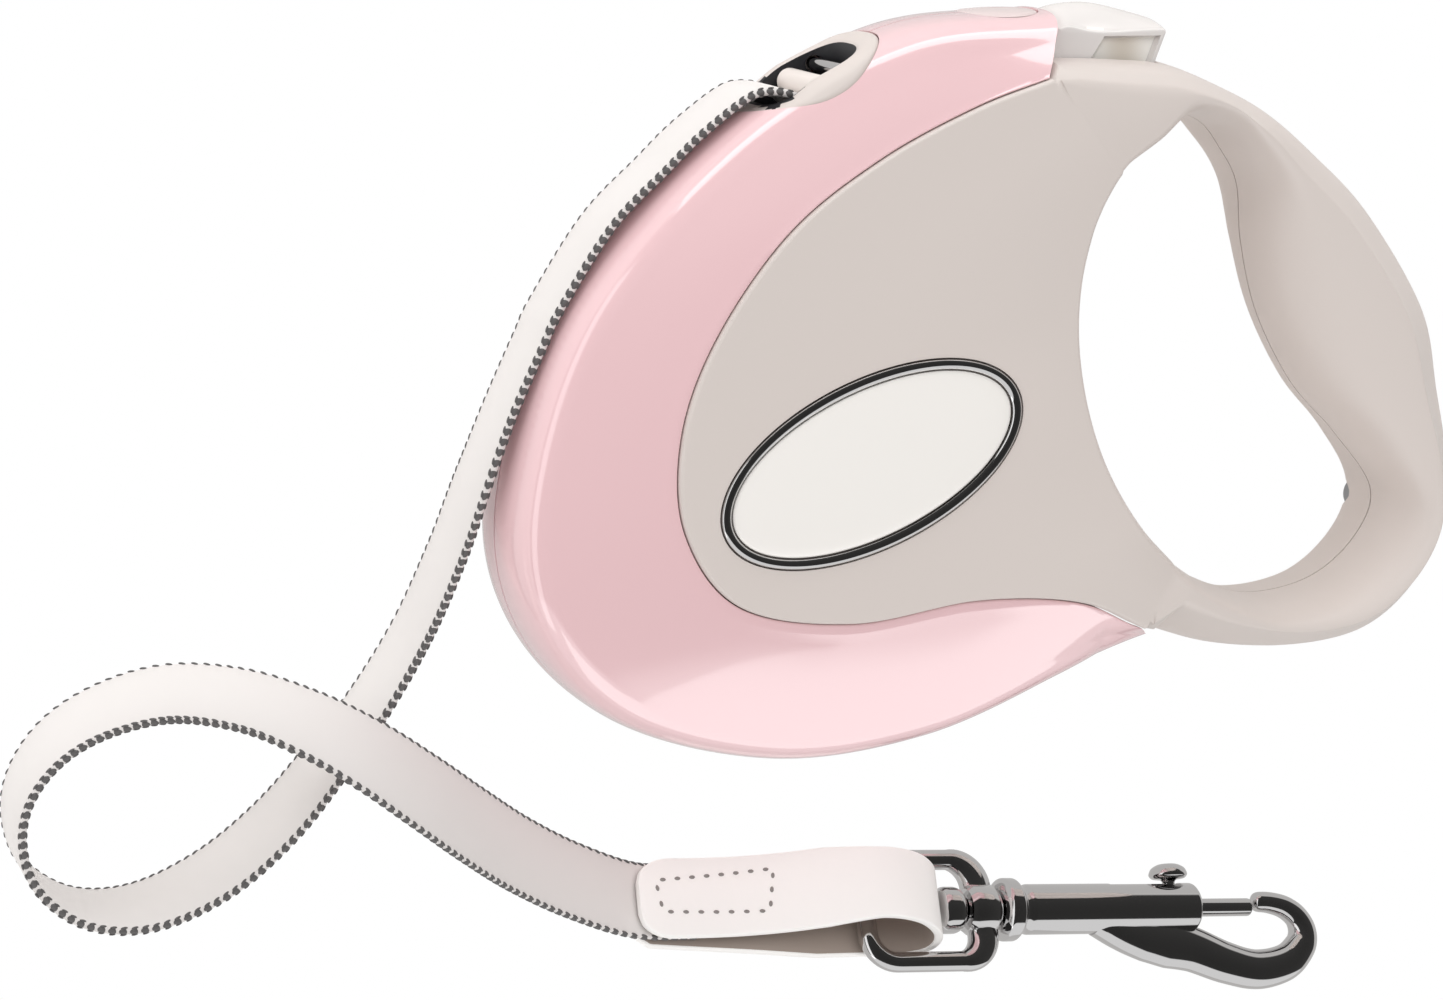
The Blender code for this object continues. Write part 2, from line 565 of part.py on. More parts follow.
def make_reel(root):
    frame = empty("reel_axis", root, Matrix.Translation(Vector((*AXLE, 0)) * MM))
    axle = stack("axle", [(2.7, 2.7), (AXLE_RADIUS, 3.0), (AXLE_RADIUS, 29.0), (2.7, 29.3)], 24)
    axle.parent = frame
    steel(axle)

    per_tooth = 4
    count = TOOTH_COUNT * per_tooth
    start = math.radians(TOOTH_GAP_AT)
    bore = AXLE_RADIUS + 0.4
    profile = [(bore, 24.6), ("tooth", 24.6), ("tooth", 22.6), (DRUM_RADIUS, 22.6), (DRUM_RADIUS, 9.4),
               (FLANGE_RADIUS, 9.4), (FLANGE_RADIUS, 7.6), (DRUM_INNER, 7.6), (DRUM_INNER, 22.0), (bore, 22.0)]
    rings = []
    for radius, z in profile:
        ring = []
        for index in range(count):
            turn = start + 2 * math.pi * (index - 0.5) / count
            in_gap = index % per_tooth < 2
            reach = radius
            if radius == "tooth":
                reach = TOOTH_ROOT if in_gap else TOOTH_TIP
            ring.append((reach * math.cos(turn), reach * math.sin(turn), z))
        rings.append(ring)
    reel = skin("reel", rings, closed=True)
    reel.parent = frame
    acetal(reel)

    lid = stack("spring_cover", [(bore, 7.7), (DRUM_INNER - GAP, 7.7), (DRUM_INNER - GAP, 9.0), (bore, 9.0)], 40,
                closed=True)
    lid.parent = frame
    acetal(lid)

    winding = stack("tape_winding", [(DRUM_RADIUS + GAP, 10.0), (WINDING_RADIUS, 10.0), (WINDING_RADIUS, 22.0),
                                     (DRUM_RADIUS + GAP, 22.0)], 48, closed=True)
    winding.parent = frame
    paint(winding, "white_polyester", (0.85, 0.82, 0.80), 0.8)

    turns = 5
    low, high = 9.6, 21.4
    first, last = AXLE_RADIUS + 0.9, DRUM_INNER - 0.9
    rings = []
    for at in np.linspace(0, 1, turns * 14 + 1):
        turn = 2 * math.pi * turns * at
        ring = []
        for reach, z in ((-0.25, low), (0.25, low), (0.25, high), (-0.25, high)):
            radius = first + (last - first) * at + reach
            ring.append((radius * math.cos(turn), radius * math.sin(turn), z))
        rings.append(ring)
    spring = skin("recoil_spring", rings)
    print("recoil_spring least gap %.2f mm" % ((last - first) / turns - 0.5))
    spring.parent = frame
    steel(spring)


# Outlet on the rim

OUTLET = rim_frame(0.16)
INLAY = rim_frame(0.0285)
ROLLER_AT = (-0.4, -3.0)
POST_AT = (4.6, -2.9)


def on_outlet(t, h):
    point, along, out = OUTLET
    return point + along * t + out * h


def make_outlet(root):
    steps = [(12.0, 11.0, -1.0, 2.3, 0.0), (12.0, 11.0, 0.35, 2.3, 0.8), (11.0, 10.2, 0.6, 2.4, 0.95),
             (8.4, 7.2, -0.2, 3.0, 0.9), (6.2, 6.9, -5.5, 4.5, 0.0), (7.2, 8.1, -5.5, 3.0, 0.0),
             (11.2, 8.3, -2.6, 2.3, 0.0), (11.2, 8.3, -1.0, 2.3, 0.0)]
    bezel = skin("outlet_bezel", [oval(OUTLET, *step) for step in steps], closed=True)
    bezel.parent = root
    grey(bezel)
    for name, place, radius in (("roller_pin", ROLLER_AT, 0.8), ("guide_post", POST_AT, 1.0)):
        x, y = on_outlet(*place)
        seat = stack(name + "_seat", [(radius + GAP, MID - 7.9), (radius + GAP, MID + 7.9)], 16)
        seat.location = (x * MM, y * MM, 0)
        cut(bezel, seat)
        pin = stack(name, [(radius, MID - 7.6), (radius, MID + 7.6)], 16)
        pin.location = (x * MM, y * MM, 0)
        pin.parent = root
        chrome(pin)
    x, y = on_outlet(*ROLLER_AT)
    bore = 0.8 + GAP
    roller = stack("guide_roller", [(bore, MID - 6.2), (1.5, MID - 6.2), (1.95, MID - 5.6), (1.95, MID + 5.6),
                                    (1.5, MID + 6.2), (bore, MID + 6.2)], 20, closed=True)
    roller.location = (x * MM, y * MM, 0)
    roller.parent = root
    paint(roller, "ivory_acetal", (0.80, 0.76, 0.72), 0.35)


# Tape

def ribbon(name, middles, widths, width, thick):
    """A flat tape from its middle line and the way that its width points at each ring."""
    along = np.gradient(middles, axis=0)
    rings = []
    for middle, tangent, across in zip(middles, along, widths):
        normal = unit(np.cross(tangent, across))
        side = unit(np.cross(normal, tangent)) * width / 2
        lift = normal * thick / 2
        rings.append([middle + side + lift, middle + side - lift, middle - side - lift, middle - side + lift])
    return skin(name, rings)


def make_tape(root):
    rows = even(ROUTE, np.linspace(0, 1, TAPE_RINGS))
    middles = rows[:, :3]
    along = np.gradient(middles, axis=0)
    widths = []
    for tangent, lean in zip(along, np.radians(rows[:, 3])):
        left = unit(np.cross((0, 0, 1), tangent))
        up = unit(np.cross(tangent, left))
        widths.append(up * math.cos(lean) + left * math.sin(lean))
    tape = ribbon("tape", middles, widths, TAPE_WIDTH, TAPE_THICK)
    tape.parent = root
    paint(tape, "white_polyester", (0.85, 0.82, 0.80), 0.8)
    length = np.linalg.norm(np.diff(middles, axis=0), axis=1).sum()
    print("tape runs %.1f mm, lowest edge %.2f mm" % (length, min(v.co.z for v in tape.data.vertices) / MM))

    start = np.array(AXLE)
    reach = middles[0][:2] - start
    angle = math.atan2(reach[1], reach[0]) - math.acos((WINDING_RADIUS + 1.0) / np.linalg.norm(reach))
    touch = start + (WINDING_RADIUS + 1.0) * np.array((math.cos(angle), math.sin(angle)))
    end = middles[0][:2] + unit(touch - middles[0][:2]) * GAP
    line = [(*(touch + (end - touch) * part), MID) for part in np.linspace(0, 1, 5)]
    lead = ribbon("tape_lead", np.array(line), [(0, 0, 1)] * len(line), TAPE_WIDTH, TAPE_THICK)
    lead.parent = root
    paint(lead, "white_polyester", (0.85, 0.82, 0.80), 0.8)


# Leather tab, swivel eye and bolt snap

# The strip's middle line from the top layer's end round the eye's bar and back: x along, y across, z out
TAB_PATH = [
    (-38.0, 0.6, 1.95), (-30.0, 0.9, 1.8), (-22.0, 1.3, 1.95), (-14.0, 1.8, 3.0), (-6.0, 2.3, 5.2),
    (1.0, 2.4, 7.0), (6.5, 1.8, 6.6), (10.2, 0.9, 3.9), (11.3, 0.2, 0.6), (9.6, -0.3, -2.0), (4.0, -0.6, -3.1),
    (-6.0, -0.5, -2.7), (-18.0, -0.2, -1.95), (-30.0, 0.2, -1.85), (-37.5, 0.5, -1.95),
]
TAB_WIDTH = 12.6
TAB_THICK = 1.4


def make_tab(root):
    """A leather strip folded round the eye's bar and closed over the end of the tape."""
    hook = lying_frame(COLLAR_AT, HOOK_HEADING, HOOK_SLOPE, EYE_ROLL)
    bar = hook @ Vector((EYE_LEFT * MM, 0, 0))
    frame = empty("tab_place", root, lying_frame(bar / MM, TAB_HEADING, TAB_SLOPE, EYE_ROLL))
    path = even(TAB_PATH, np.linspace(0, 1, 44))
    along = np.gradient(path, axis=0)
    run = np.concatenate([[0], np.cumsum(np.linalg.norm(np.diff(path, axis=0), axis=1))])
    rings = []
    for point, tangent, at in zip(path, along, run):
        normal = unit((-tangent[2], 0, tangent[0])) * TAB_THICK / 2
        round_end = min(1.0, 0.55 + 0.13 * at, 0.8 + 0.1 * (run[-1] - at))
        waist = 1.0 - 0.1 * min(1.0, max(0.0, (point[0] + 8.0) / 8.0))
        side = np.array((0, TAB_WIDTH / 2 * round_end * waist, 0))
        rings.append([point + normal + side, point + normal - side, point - normal - side, point - normal + side])
    tab = skin("leather_tab", rings)
    tab.parent = frame
    paint(tab, "white_leather", (0.90, 0.88, 0.86), 0.55)


def tube(name, path, radii, sides, closed):
    """A rod along a path in the local x, y plane; radii are (in the plane, out of it) at each ring."""
    count = len(path)
    rings = []
    for index in range(count):
        before = path[index - 1] if closed or index > 0 else path[0]
        after = path[(index + 1) % count] if closed or index < count - 1 else path[-1]
        tangent = unit(np.asarray(after) - np.asarray(before))
        across = np.array((-tangent[1], tangent[0]))
        wide, high = radii[index]
        ring = []
        for turn in np.linspace(0, 2 * math.pi, sides, endpoint=False):
            x, y = np.asarray(path[index]) + across * wide * math.cos(turn)
            ring.append((x, y, high * math.sin(turn)))
        rings.append(ring)
    return skin(name, rings, closed)


def rounded_loop(left, right, half_width, radius, steps=5):
    """A rectangle with round corners in the local x, y plane."""
    loop = []
    for x, y, first in ((right - radius, half_width - radius, 0), (left + radius, half_width - radius, 90),
                        (left + radius, radius - half_width, 180), (right - radius, radius - half_width, 270)):
        for turn in np.radians(np.linspace(first, first + 90, steps)):
            loop.append((x + radius * math.cos(turn), y + radius * math.sin(turn)))
    return loop


def along_x(piece):
    """Turns a piece made about local z so that it runs along its parent's x axis."""
    piece.matrix_basis = Matrix.Rotation(math.pi / 2, 4, "Y")


HOOK_CURVE = [(18.0, -2.0), (23.0, -3.9), (29.0, -5.2), (35.2, -6.6), (41.6, -8.9), (47.4, -10.1), (52.9, -9.1),
              (56.0, -6.6), (56.8, -4.2), (55.9, -1.8), (53.6, -0.1), (50.6, 0.7), (47.6, 0.85)]
HOOK_WIDTH = [2.4, 3.0, 3.8, 4.1, 3.7, 3.5, 3.3, 3.2, 3.0, 2.6, 2.0, 1.8, 1.6]
BORE = 1.8
ROD = 1.45
ROD_BACK = 25.0
ROD_TIP = 47.0
KNOB_AT = 32.0


def make_eye(frame):
    """The swivel eye: a rounded loop with a boss that the hook's stem turns in."""
    loop = rounded_loop(EYE_LEFT, EYE_RIGHT, EYE_HALF_WIDTH, 4.5)
    swell = [min(1.0, max(0.0, (x - EYE_RIGHT) / 4.5 + 1.0)) for x, y in loop]
    eye = tube("swivel_eye", loop, [(EYE_BAR + part, EYE_BAR + 0.4 * part) for part in swell], 10, True)
    eye.parent = frame
    boss = stack("eye_boss", [(3.4, EYE_RIGHT - 2.65), (4.0, EYE_RIGHT - 1.8), (4.0, EYE_RIGHT + 1.7),
                              (3.4, EYE_RIGHT + 2.55)], 20)
    hole = stack("eye_bore", [(2.1, EYE_RIGHT - 5), (2.1, EYE_RIGHT + 5)], 20)
    for lump in (boss, hole):
        lump.parent = frame
        along_x(lump)
    cut(eye, boss, "UNION")
    cut(eye, hole)
    chrome(eye)


def make_hook(frame):
    """The bolt snap: stem, collar, barrel and hook in one casting, with a sliding bolt."""
    stem = stack("hook_stem", [(1.0, -10.9), (3.2, -10.5), (3.7, -9.7), (3.7, -7.6), (3.2, -6.6), (1.75, -6.2),
                               (1.75, -GAP)], 20)
    stem.parent = frame
    along_x(stem)
    chrome(stem)

    body = stack("hook_body", [(3.8, 0.0), (5.0, 0.9), (5.0, 2.9), (3.7, 3.8), (3.7, 4.6), (4.0, 5.2),
                               (4.0, BARREL_END - 0.4), (3.6, BARREL_END)], 24)
    body.parent = frame
    along_x(body)
    curve = even(HOOK_CURVE, np.linspace(0, 1, 26))
    widths = np.interp(np.linspace(0, 1, 26), np.linspace(0, 1, len(HOOK_WIDTH)), HOOK_WIDTH)
    jaw = tube("hook_jaw", curve, [(wide, min(2.6, wide)) for wide in widths], 12, False)
    jaw.parent = frame
    cut(body, jaw, "UNION")
    bore = stack("bolt_bore", [(BORE, 2.2), (BORE, BARREL_END + 1.0)], 20)
    bore.parent = frame
    along_x(bore)
    cut(body, bore)
    slot = prism("knob_slot", box_outline(KNOB_AT - BOLT_TRAVEL - 1.6, KNOB_AT + 1.6, 0.0, 7.0), -1.35, 1.35)
    slot.parent = frame
    cut(body, slot)
    chrome(body)


def make_bolt(frame):
    rod = stack("hook_bolt", [(1.1, ROD_BACK), (ROD, ROD_BACK + 0.4), (ROD, ROD_TIP - 0.5), (1.0, ROD_TIP)], 20)
    rod.parent = frame
    along_x(rod)
    chrome(rod)
    knob = stack("bolt_knob", [(1.0, ROD + GAP), (1.0, 4.5), (2.7, 4.7), (3.2, 5.3), (2.8, 6.4), (1.5, 7.1)], 20)
    knob.matrix_basis = Matrix.Translation((KNOB_AT * MM, 0, 0)) @ Matrix.Rotation(-math.pi / 2, 4, "X")
    knob.parent = frame
    chrome(knob)
    spring = helix("bolt_spring", 1.2, 0.2, 2.2 + GAP, ROD_BACK - GAP, 8)
    spring.parent = frame
    along_x(spring)
    steel(spring)


def stand_on_origin(root):
    """Puts the origin under the middle of the housing."""
    housing = [bpy.data.objects[name] for name in ("front_frame_half", "rear_frame_half", "front_cover", "rear_cover",
                                                   "brake_button", "outlet_bezel", "button_inlay")]
    points = np.array([corner.co for piece in housing for corner in piece.data.vertices])
    middle = (points.min(axis=0) + points.max(axis=0)) / 2
    root.location = (-middle[0], -middle[1], 0)


def main():
    for item in list(bpy.data.objects):
        bpy.data.objects.remove(item)
    root = empty("leash", None, Matrix.Identity(4))
    make_housing(root)
    make_badge(root)
    make_screws(root)
    make_brake(root)
    make_reel(root)
    make_outlet(root)
    make_tape(root)
    make_tab(root)
    eye_frame = empty("eye_axis", root, lying_frame(COLLAR_AT, HOOK_HEADING, HOOK_SLOPE, EYE_ROLL))
    hook_frame = empty("hook_axis", root, lying_frame(COLLAR_AT, HOOK_HEADING, HOOK_SLOPE, HOOK_ROLL))
    make_eye(eye_frame)
    make_hook(hook_frame)
    make_bolt(hook_frame)
    stand_on_origin(root)


main()
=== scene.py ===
import json
from math import copysign, cos, hypot, pi, radians, sin, sqrt

import bmesh
import bpy
import numpy as np
from mathutils import Matrix, Vector

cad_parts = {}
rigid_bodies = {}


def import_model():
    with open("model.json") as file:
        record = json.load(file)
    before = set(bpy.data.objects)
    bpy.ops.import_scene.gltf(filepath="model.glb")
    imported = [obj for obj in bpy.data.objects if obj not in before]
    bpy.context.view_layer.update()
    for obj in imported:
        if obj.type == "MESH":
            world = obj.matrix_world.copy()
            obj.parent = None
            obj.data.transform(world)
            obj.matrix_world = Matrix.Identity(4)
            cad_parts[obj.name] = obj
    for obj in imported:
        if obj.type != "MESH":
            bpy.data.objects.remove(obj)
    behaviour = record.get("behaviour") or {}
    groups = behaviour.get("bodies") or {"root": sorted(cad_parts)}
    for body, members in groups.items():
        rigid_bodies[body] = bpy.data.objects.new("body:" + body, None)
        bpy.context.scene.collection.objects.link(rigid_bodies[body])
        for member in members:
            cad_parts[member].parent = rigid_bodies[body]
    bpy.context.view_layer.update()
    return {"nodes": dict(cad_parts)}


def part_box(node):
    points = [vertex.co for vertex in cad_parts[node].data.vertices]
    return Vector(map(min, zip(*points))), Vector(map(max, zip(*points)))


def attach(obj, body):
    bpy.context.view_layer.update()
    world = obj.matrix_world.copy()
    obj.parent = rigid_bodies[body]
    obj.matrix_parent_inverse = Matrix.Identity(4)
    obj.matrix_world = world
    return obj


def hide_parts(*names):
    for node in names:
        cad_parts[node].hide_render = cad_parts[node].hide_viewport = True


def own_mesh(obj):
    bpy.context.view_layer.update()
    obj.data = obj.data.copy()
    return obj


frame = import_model()
mm = 0.001

# Places are in millimetres from the drawing's datum; the axle's own place ties it to the frame
axlePlace = (1.0, -4.0)
axleLow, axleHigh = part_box("axle")
datumShift = ((axleLow + axleHigh) / 2 / mm).xy - Vector(axlePlace)
midHeight = 16.0  # where the two halves of the housing meet
splitGap = 0.15  # from there to each half


def unit(vector):
    vector = np.asarray(vector, float)
    return vector / np.linalg.norm(vector)


def turns(sides):
    return np.linspace(0, 2 * pi, sides, endpoint=False)


def ellipse(long, short, sides=160):
    return [(long * cos(turn), short * sin(turn)) for turn in turns(sides)]


# A quarter circle of radius 1 as steps in from its side and up
def quarterArc(count):
    return [(1 - cos(turn), sin(turn)) for turn in np.linspace(0, pi / 2, count)]


# The length run at each point of a path
def runsAlong(points):
    return np.concatenate([[0], np.cumsum(np.linalg.norm(np.diff(points, axis=0), axis=1))])


# A smooth curve through rows of numbers, read at a parameter counted in rows
def spline(rows, at, closed=False):
    points = np.asarray(rows, float)
    count = len(points)
    spans = count if closed else count - 1
    first = min(int(at), spans - 1)
    part = at - first
    if closed:
        a, b, c, d = (points[(first + step) % count] for step in (-1, 0, 1, 2))
    else:
        b, c = points[first], points[first + 1]
        a = points[first - 1] if first > 0 else 2 * b - c
        d = points[first + 2] if first + 2 < count else 2 * c - b
    return 0.5 * (2 * b + (c - a) * part + (2 * a - 5 * b + 4 * c - d) * part ** 2
                  + (3 * b - a - 3 * c + d) * part ** 3)


# The same curve read at fractions of its length
def even(rows, fractions):
    fine = np.array([spline(rows, at) for at in np.linspace(0, len(rows) - 1, 60 * len(rows))])
    runs = runsAlong(fine[:, :3])
    return np.stack([np.interp(np.asarray(fractions) * runs[-1], runs, fine[:, axis])
                     for axis in range(fine.shape[1])], axis=1)


cornerShare = 0.45  # the most of a side that an eased corner takes


# A corner eased into a short curve between its neighbours
def easedCorner(before, corner, after, reach, count=7):
    before, corner, after = (np.asarray(point, float) for point in (before, corner, after))
    start, end = (corner + unit(side - corner)
                  * min(reach, cornerShare * np.linalg.norm(side - corner))
                  for side in (before, after))
    return [tuple((1 - part) ** 2 * start + 2 * part * (1 - part) * corner + part ** 2 * end)
            for part in np.linspace(0, 1, count)]


# A rounded end's part of the full width at a distance from its tip
def roundedEnd(distance, run, tipPart):
    left = max(0.0, 1 - distance / run)
    return tipPart + (1 - tipPart) * sqrt(1 - left ** 2)


def addObject(name, data):
    made = bpy.data.objects.new(name, data)
    bpy.context.collection.objects.link(made)
    return made


# Smooth sides, with edges over an angle in degrees left sharp
def smooth(mesh, sharp):
    mesh.shade_smooth()
    mesh.set_sharp_from_angle(angle=radians(sharp))


# A mesh from rings of datum points in millimetres, or of points in a place of their own
def skin(name, rings, closed=False, place=None, sharp=32):
    points = np.asarray(rings, float)
    count, sides = points.shape[:2]
    flat = points.reshape(-1, 3)
    if place is None:
        flat = flat + np.array((datumShift.x, datumShift.y, 0.0))
        corners = [tuple(point) for point in flat * mm]
    else:
        corners = [tuple(place @ Vector(point)) for point in flat * mm]
    faces = []
    for ring in range(count if closed else count - 1):
        near, far = ring * sides, (ring + 1) % count * sides
        faces += [(near + side, near + (side + 1) % sides, far + (side + 1) % sides, far + side)
                  for side in range(sides)]
    if not closed:
        last = (count - 1) * sides
        faces += [tuple(range(sides))[::-1], tuple(range(last, last + sides))]
    mesh = bpy.data.meshes.new(name)
    mesh.from_pydata(corners, [], faces)
    work = bmesh.new()
    work.from_mesh(mesh)
    bmesh.ops.remove_doubles(work, verts=work.verts, dist=1e-7)
    bmesh.ops.recalc_face_normals(work, faces=work.faces)
    work.to_mesh(mesh)
    work.free()
    smooth(mesh, sharp)
    return addObject(name, mesh)


# A profile of (radius, z) turned about z, its corners eased by short steps
def turned(name, profile, sides=64, closed=False, place=None, ease=0.0):
    rows = [np.asarray(row, float) for row in profile]
    eased = []
    for index, row in enumerate(rows):
        if not ease or not closed and index in (0, len(rows) - 1):
            eased.append(row)
            continue
        back, ahead = rows[index - 1], rows[(index + 1) % len(rows)]
        reach = min(ease, *(cornerShare * np.linalg.norm(side - row) for side in (back, ahead)))
        eased += easedCorner(back, row, ahead, reach, 5)
    rings = [[(x, y, z) for x, y in ellipse(radius, radius, sides)] for radius, z in eased]
    return skin(name, rings, closed, place)


def shift(made, x, y):
    made.data.transform(Matrix.Translation((x * mm, y * mm, 0)))
    return made


# Leaves a plain mesh in place of an object's modifiers
def settle(made):
    bpy.context.view_layer.update()
    graph = bpy.context.evaluated_depsgraph_get()
    mesh = bpy.data.meshes.new_from_object(made.evaluated_get(graph))
    made.modifiers.clear()
    made.data = mesh
    return mesh


# Takes lumps out of a mesh, or joins them to it
def carve(made, lumps, operation="DIFFERENCE", sharp=32):
    for lump in lumps:
        change = made.modifiers.new(lump.name, "BOOLEAN")
        change.operation = operation
        change.object = lump
        change.solver = "EXACT"
    smooth(settle(made), sharp)
    for lump in lumps:
        bpy.data.objects.remove(lump)


# Materials

def linear(hexColour):
    parts = [int(hexColour[start:start + 2], 16) / 255 for start in (1, 3, 5)]
    return tuple(part / 12.92 if part <= 0.04045 else ((part + 0.055) / 1.055) ** 2.4
                 for part in parts) + (1.0,)


# Sockets take a value, a socket to link or a node, which stands for its first output
def addNode(tree, kind, sockets=None, **settings):
    node = tree.nodes.new(kind)
    for key, value in settings.items():
        setattr(node, key, value)
    for key, value in (sockets or {}).items():
        if isinstance(value, bpy.types.Node):
            value = value.outputs[0]
        if isinstance(value, bpy.types.NodeSocket):
            tree.links.new(value, node.inputs[key])
        else:
            node.inputs[key].default_value = value
    return node


def newMaterial(name, colour, roughness, metallic=0.0, extra=None):
    material = bpy.data.materials.new(name)
    material.use_nodes = True
    values = {"Base Color": linear(colour), "Roughness": roughness, "Metallic": metallic}
    for key, value in (values | (extra or {})).items():
        material.node_tree.nodes["Principled BSDF"].inputs[key].default_value = value
    return material


# Relief from a height between 0 and 1; depth is in millimetres
def addBump(tree, height, depth, strength=1.0):
    bump = addNode(tree, "ShaderNodeBump",
                   {"Height": height, "Distance": depth * mm, "Strength": strength})
    tree.links.new(bump.outputs["Normal"], tree.nodes["Principled BSDF"].inputs["Normal"])


# Fine surface grain from noise; size is the grain in millimetres and depth its height
def addGrain(material, size, depth, detail=2.0):
    tree = material.node_tree
    place = addNode(tree, "ShaderNodeTexCoord")
    noise = addNode(tree, "ShaderNodeTexNoise",
                    {"Vector": place.outputs["Object"], "Scale": 1 / (size * mm), "Detail": detail})
    addBump(tree, noise.outputs["Fac"], depth)


# Bands of a wave texture; size is in millimetres for each radian of the wave
def addBands(tree, direction, place, size, extra):
    waveRate = 20  # radians that the texture itself turns in each unit of its scale
    bands = addNode(tree, "ShaderNodeTexWave",
                    {"Vector": place, "Scale": 1 / (size * mm) / waveRate, **extra},
                    wave_type="BANDS", bands_direction=direction)
    return bands.outputs["Fac"]


# Glossy injection-moulded ABS of the covers
pinkGloss = newMaterial("pinkGlossAbs", "#F0CACE", 0.2, 0.0,
                        {"Coat Weight": 1.0, "Coat IOR": 1.9, "Coat Roughness": 0.06})
# Fine-eroded satin ABS of the frame and grip
greySatin = newMaterial("warmGreySatinAbs", "#D6CDC8", 0.42)
addGrain(greySatin, 0.35, 0.006)
# Bright nickel-chrome plate of the snap hook, the badge's ring and the pins in the outlet
chromePlate = newMaterial("brightChromePlate", "#D9D8D8", 0.07, 1.0)
# Bare satin silver plate of the badge
silverPlate = newMaterial("satinSilverPlate", "#FAF7F3", 0.32, 0.08)
# Metallised satin ABS of the button
pearlMetal = newMaterial("pearlMetallisedAbs", "#E4E0DE", 0.22, 0.05)
# Pearl ABS of the small plate by the button
pearlPink = newMaterial("pearlPinkAbs", "#E3D3D2", 0.22, 0.15)
# Acetal of the roller
ivoryAcetal = newMaterial("ivoryAcetal", "#E6DDD8", 0.25)
# Black acetal of the reel and the brake bar; on the outlet's throat the same black is painted shade
blackAcetal = newMaterial("blackAcetal", "#26262A", 0.5)
# Steel of the springs, the screws and the axle
plainSteel = newMaterial("plainSteel", "#A9A9AB", 0.32, 1.0)
# Smooth coated white leather
whiteLeather = newMaterial("coatedWhiteLeather", "#FBF9F7", 0.5)
addGrain(whiteLeather, 0.9, 0.03, 4.0)
# Rough inner side of the leather, seen inside the fold; its dark brown-grey is partly the raw
# side's own tone and partly painted shade between the layers
rawLeather = newMaterial("rawLeather", "#A3968D", 0.85)
# Grey sewing thread
greyThread = newMaterial("greyThread", "#8C8784", 0.75)
# Dark reflective thread along the tape's edges
darkThread = newMaterial("darkEdgeThread", "#5E5C5C", 0.6)

weave = {"colour": "#DFDBD9", "rib": 0.55, "yarn": 0.7, "depth": 0.05, "strength": 0.35}


# Woven polyester: ribs across the tape and yarns along it, from its own length and width in metres
def makeWeave():
    material = newMaterial("wovenPolyester", weave["colour"], 0.75, 0.0, {"Sheen Weight": 0.25})
    tree = material.node_tree
    place = addNode(tree, "ShaderNodeUVMap")
    ribs = addBands(tree, "X", place, weave["rib"], {"Distortion": 0.4, "Detail": 1.0})
    yarns = addBands(tree, "Y", place, weave["yarn"], {"Distortion": 0.2})
    mix = addNode(tree, "ShaderNodeMath", {0: ribs, 1: yarns}, operation="MULTIPLY")
    addBump(tree, mix, weave["depth"], weave["strength"])
    return material


wovenTape = makeWeave()
sheenStreaks = {"size": 1.575, "colours": ("#E4DCD0", "#FFFDF8")}


# Metallised floor of the button's scoops, painted paler than the button's top against the scoops'
# shade, with soft pale streaks of the brushed grain as painted sheen
def makeBrushedSheen():
    material = newMaterial("brushedMetallisedAbs", "#DCD5CA", 0.25, 0.05)
    tree = material.node_tree
    place = addNode(tree, "ShaderNodeTexCoord")
    bands = addBands(tree, "X", place.outputs["Object"], sheenStreaks["size"],
                     {"Distortion": 3.0, "Detail Scale": 0.4})
    tint = addNode(tree, "ShaderNodeValToRGB", {"Fac": bands})
    for element, colour in zip(tint.color_ramp.elements, sheenStreaks["colours"]):
        element.color = linear(colour)
    tree.links.new(tint.outputs["Color"], tree.nodes["Principled BSDF"].inputs["Base Color"])
    return material


brushedSheenMetal = makeBrushedSheen()


def dress(made, material, body, slotName, *nodes):
    made.data.materials.clear()
    made.data.materials.append(material)
    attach(made, body)
    if nodes:
        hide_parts(*nodes)
    return made


# Hidden works keep their own shape and take a plain finish
hiddenFinish = {
    "reel": blackAcetal, "spring_cover": blackAcetal, "brake_bar": blackAcetal,
    "recoil_spring": plainSteel, "axle": plainSteel, "roller_pin": chromePlate,
    "tape_winding": wovenTape, "tape_lead": wovenTape,
}
for nodeName, finish in hiddenFinish.items():
    frame["nodes"][nodeName].data.materials.clear()
    frame["nodes"][nodeName].data.materials.append(finish)

# Housing

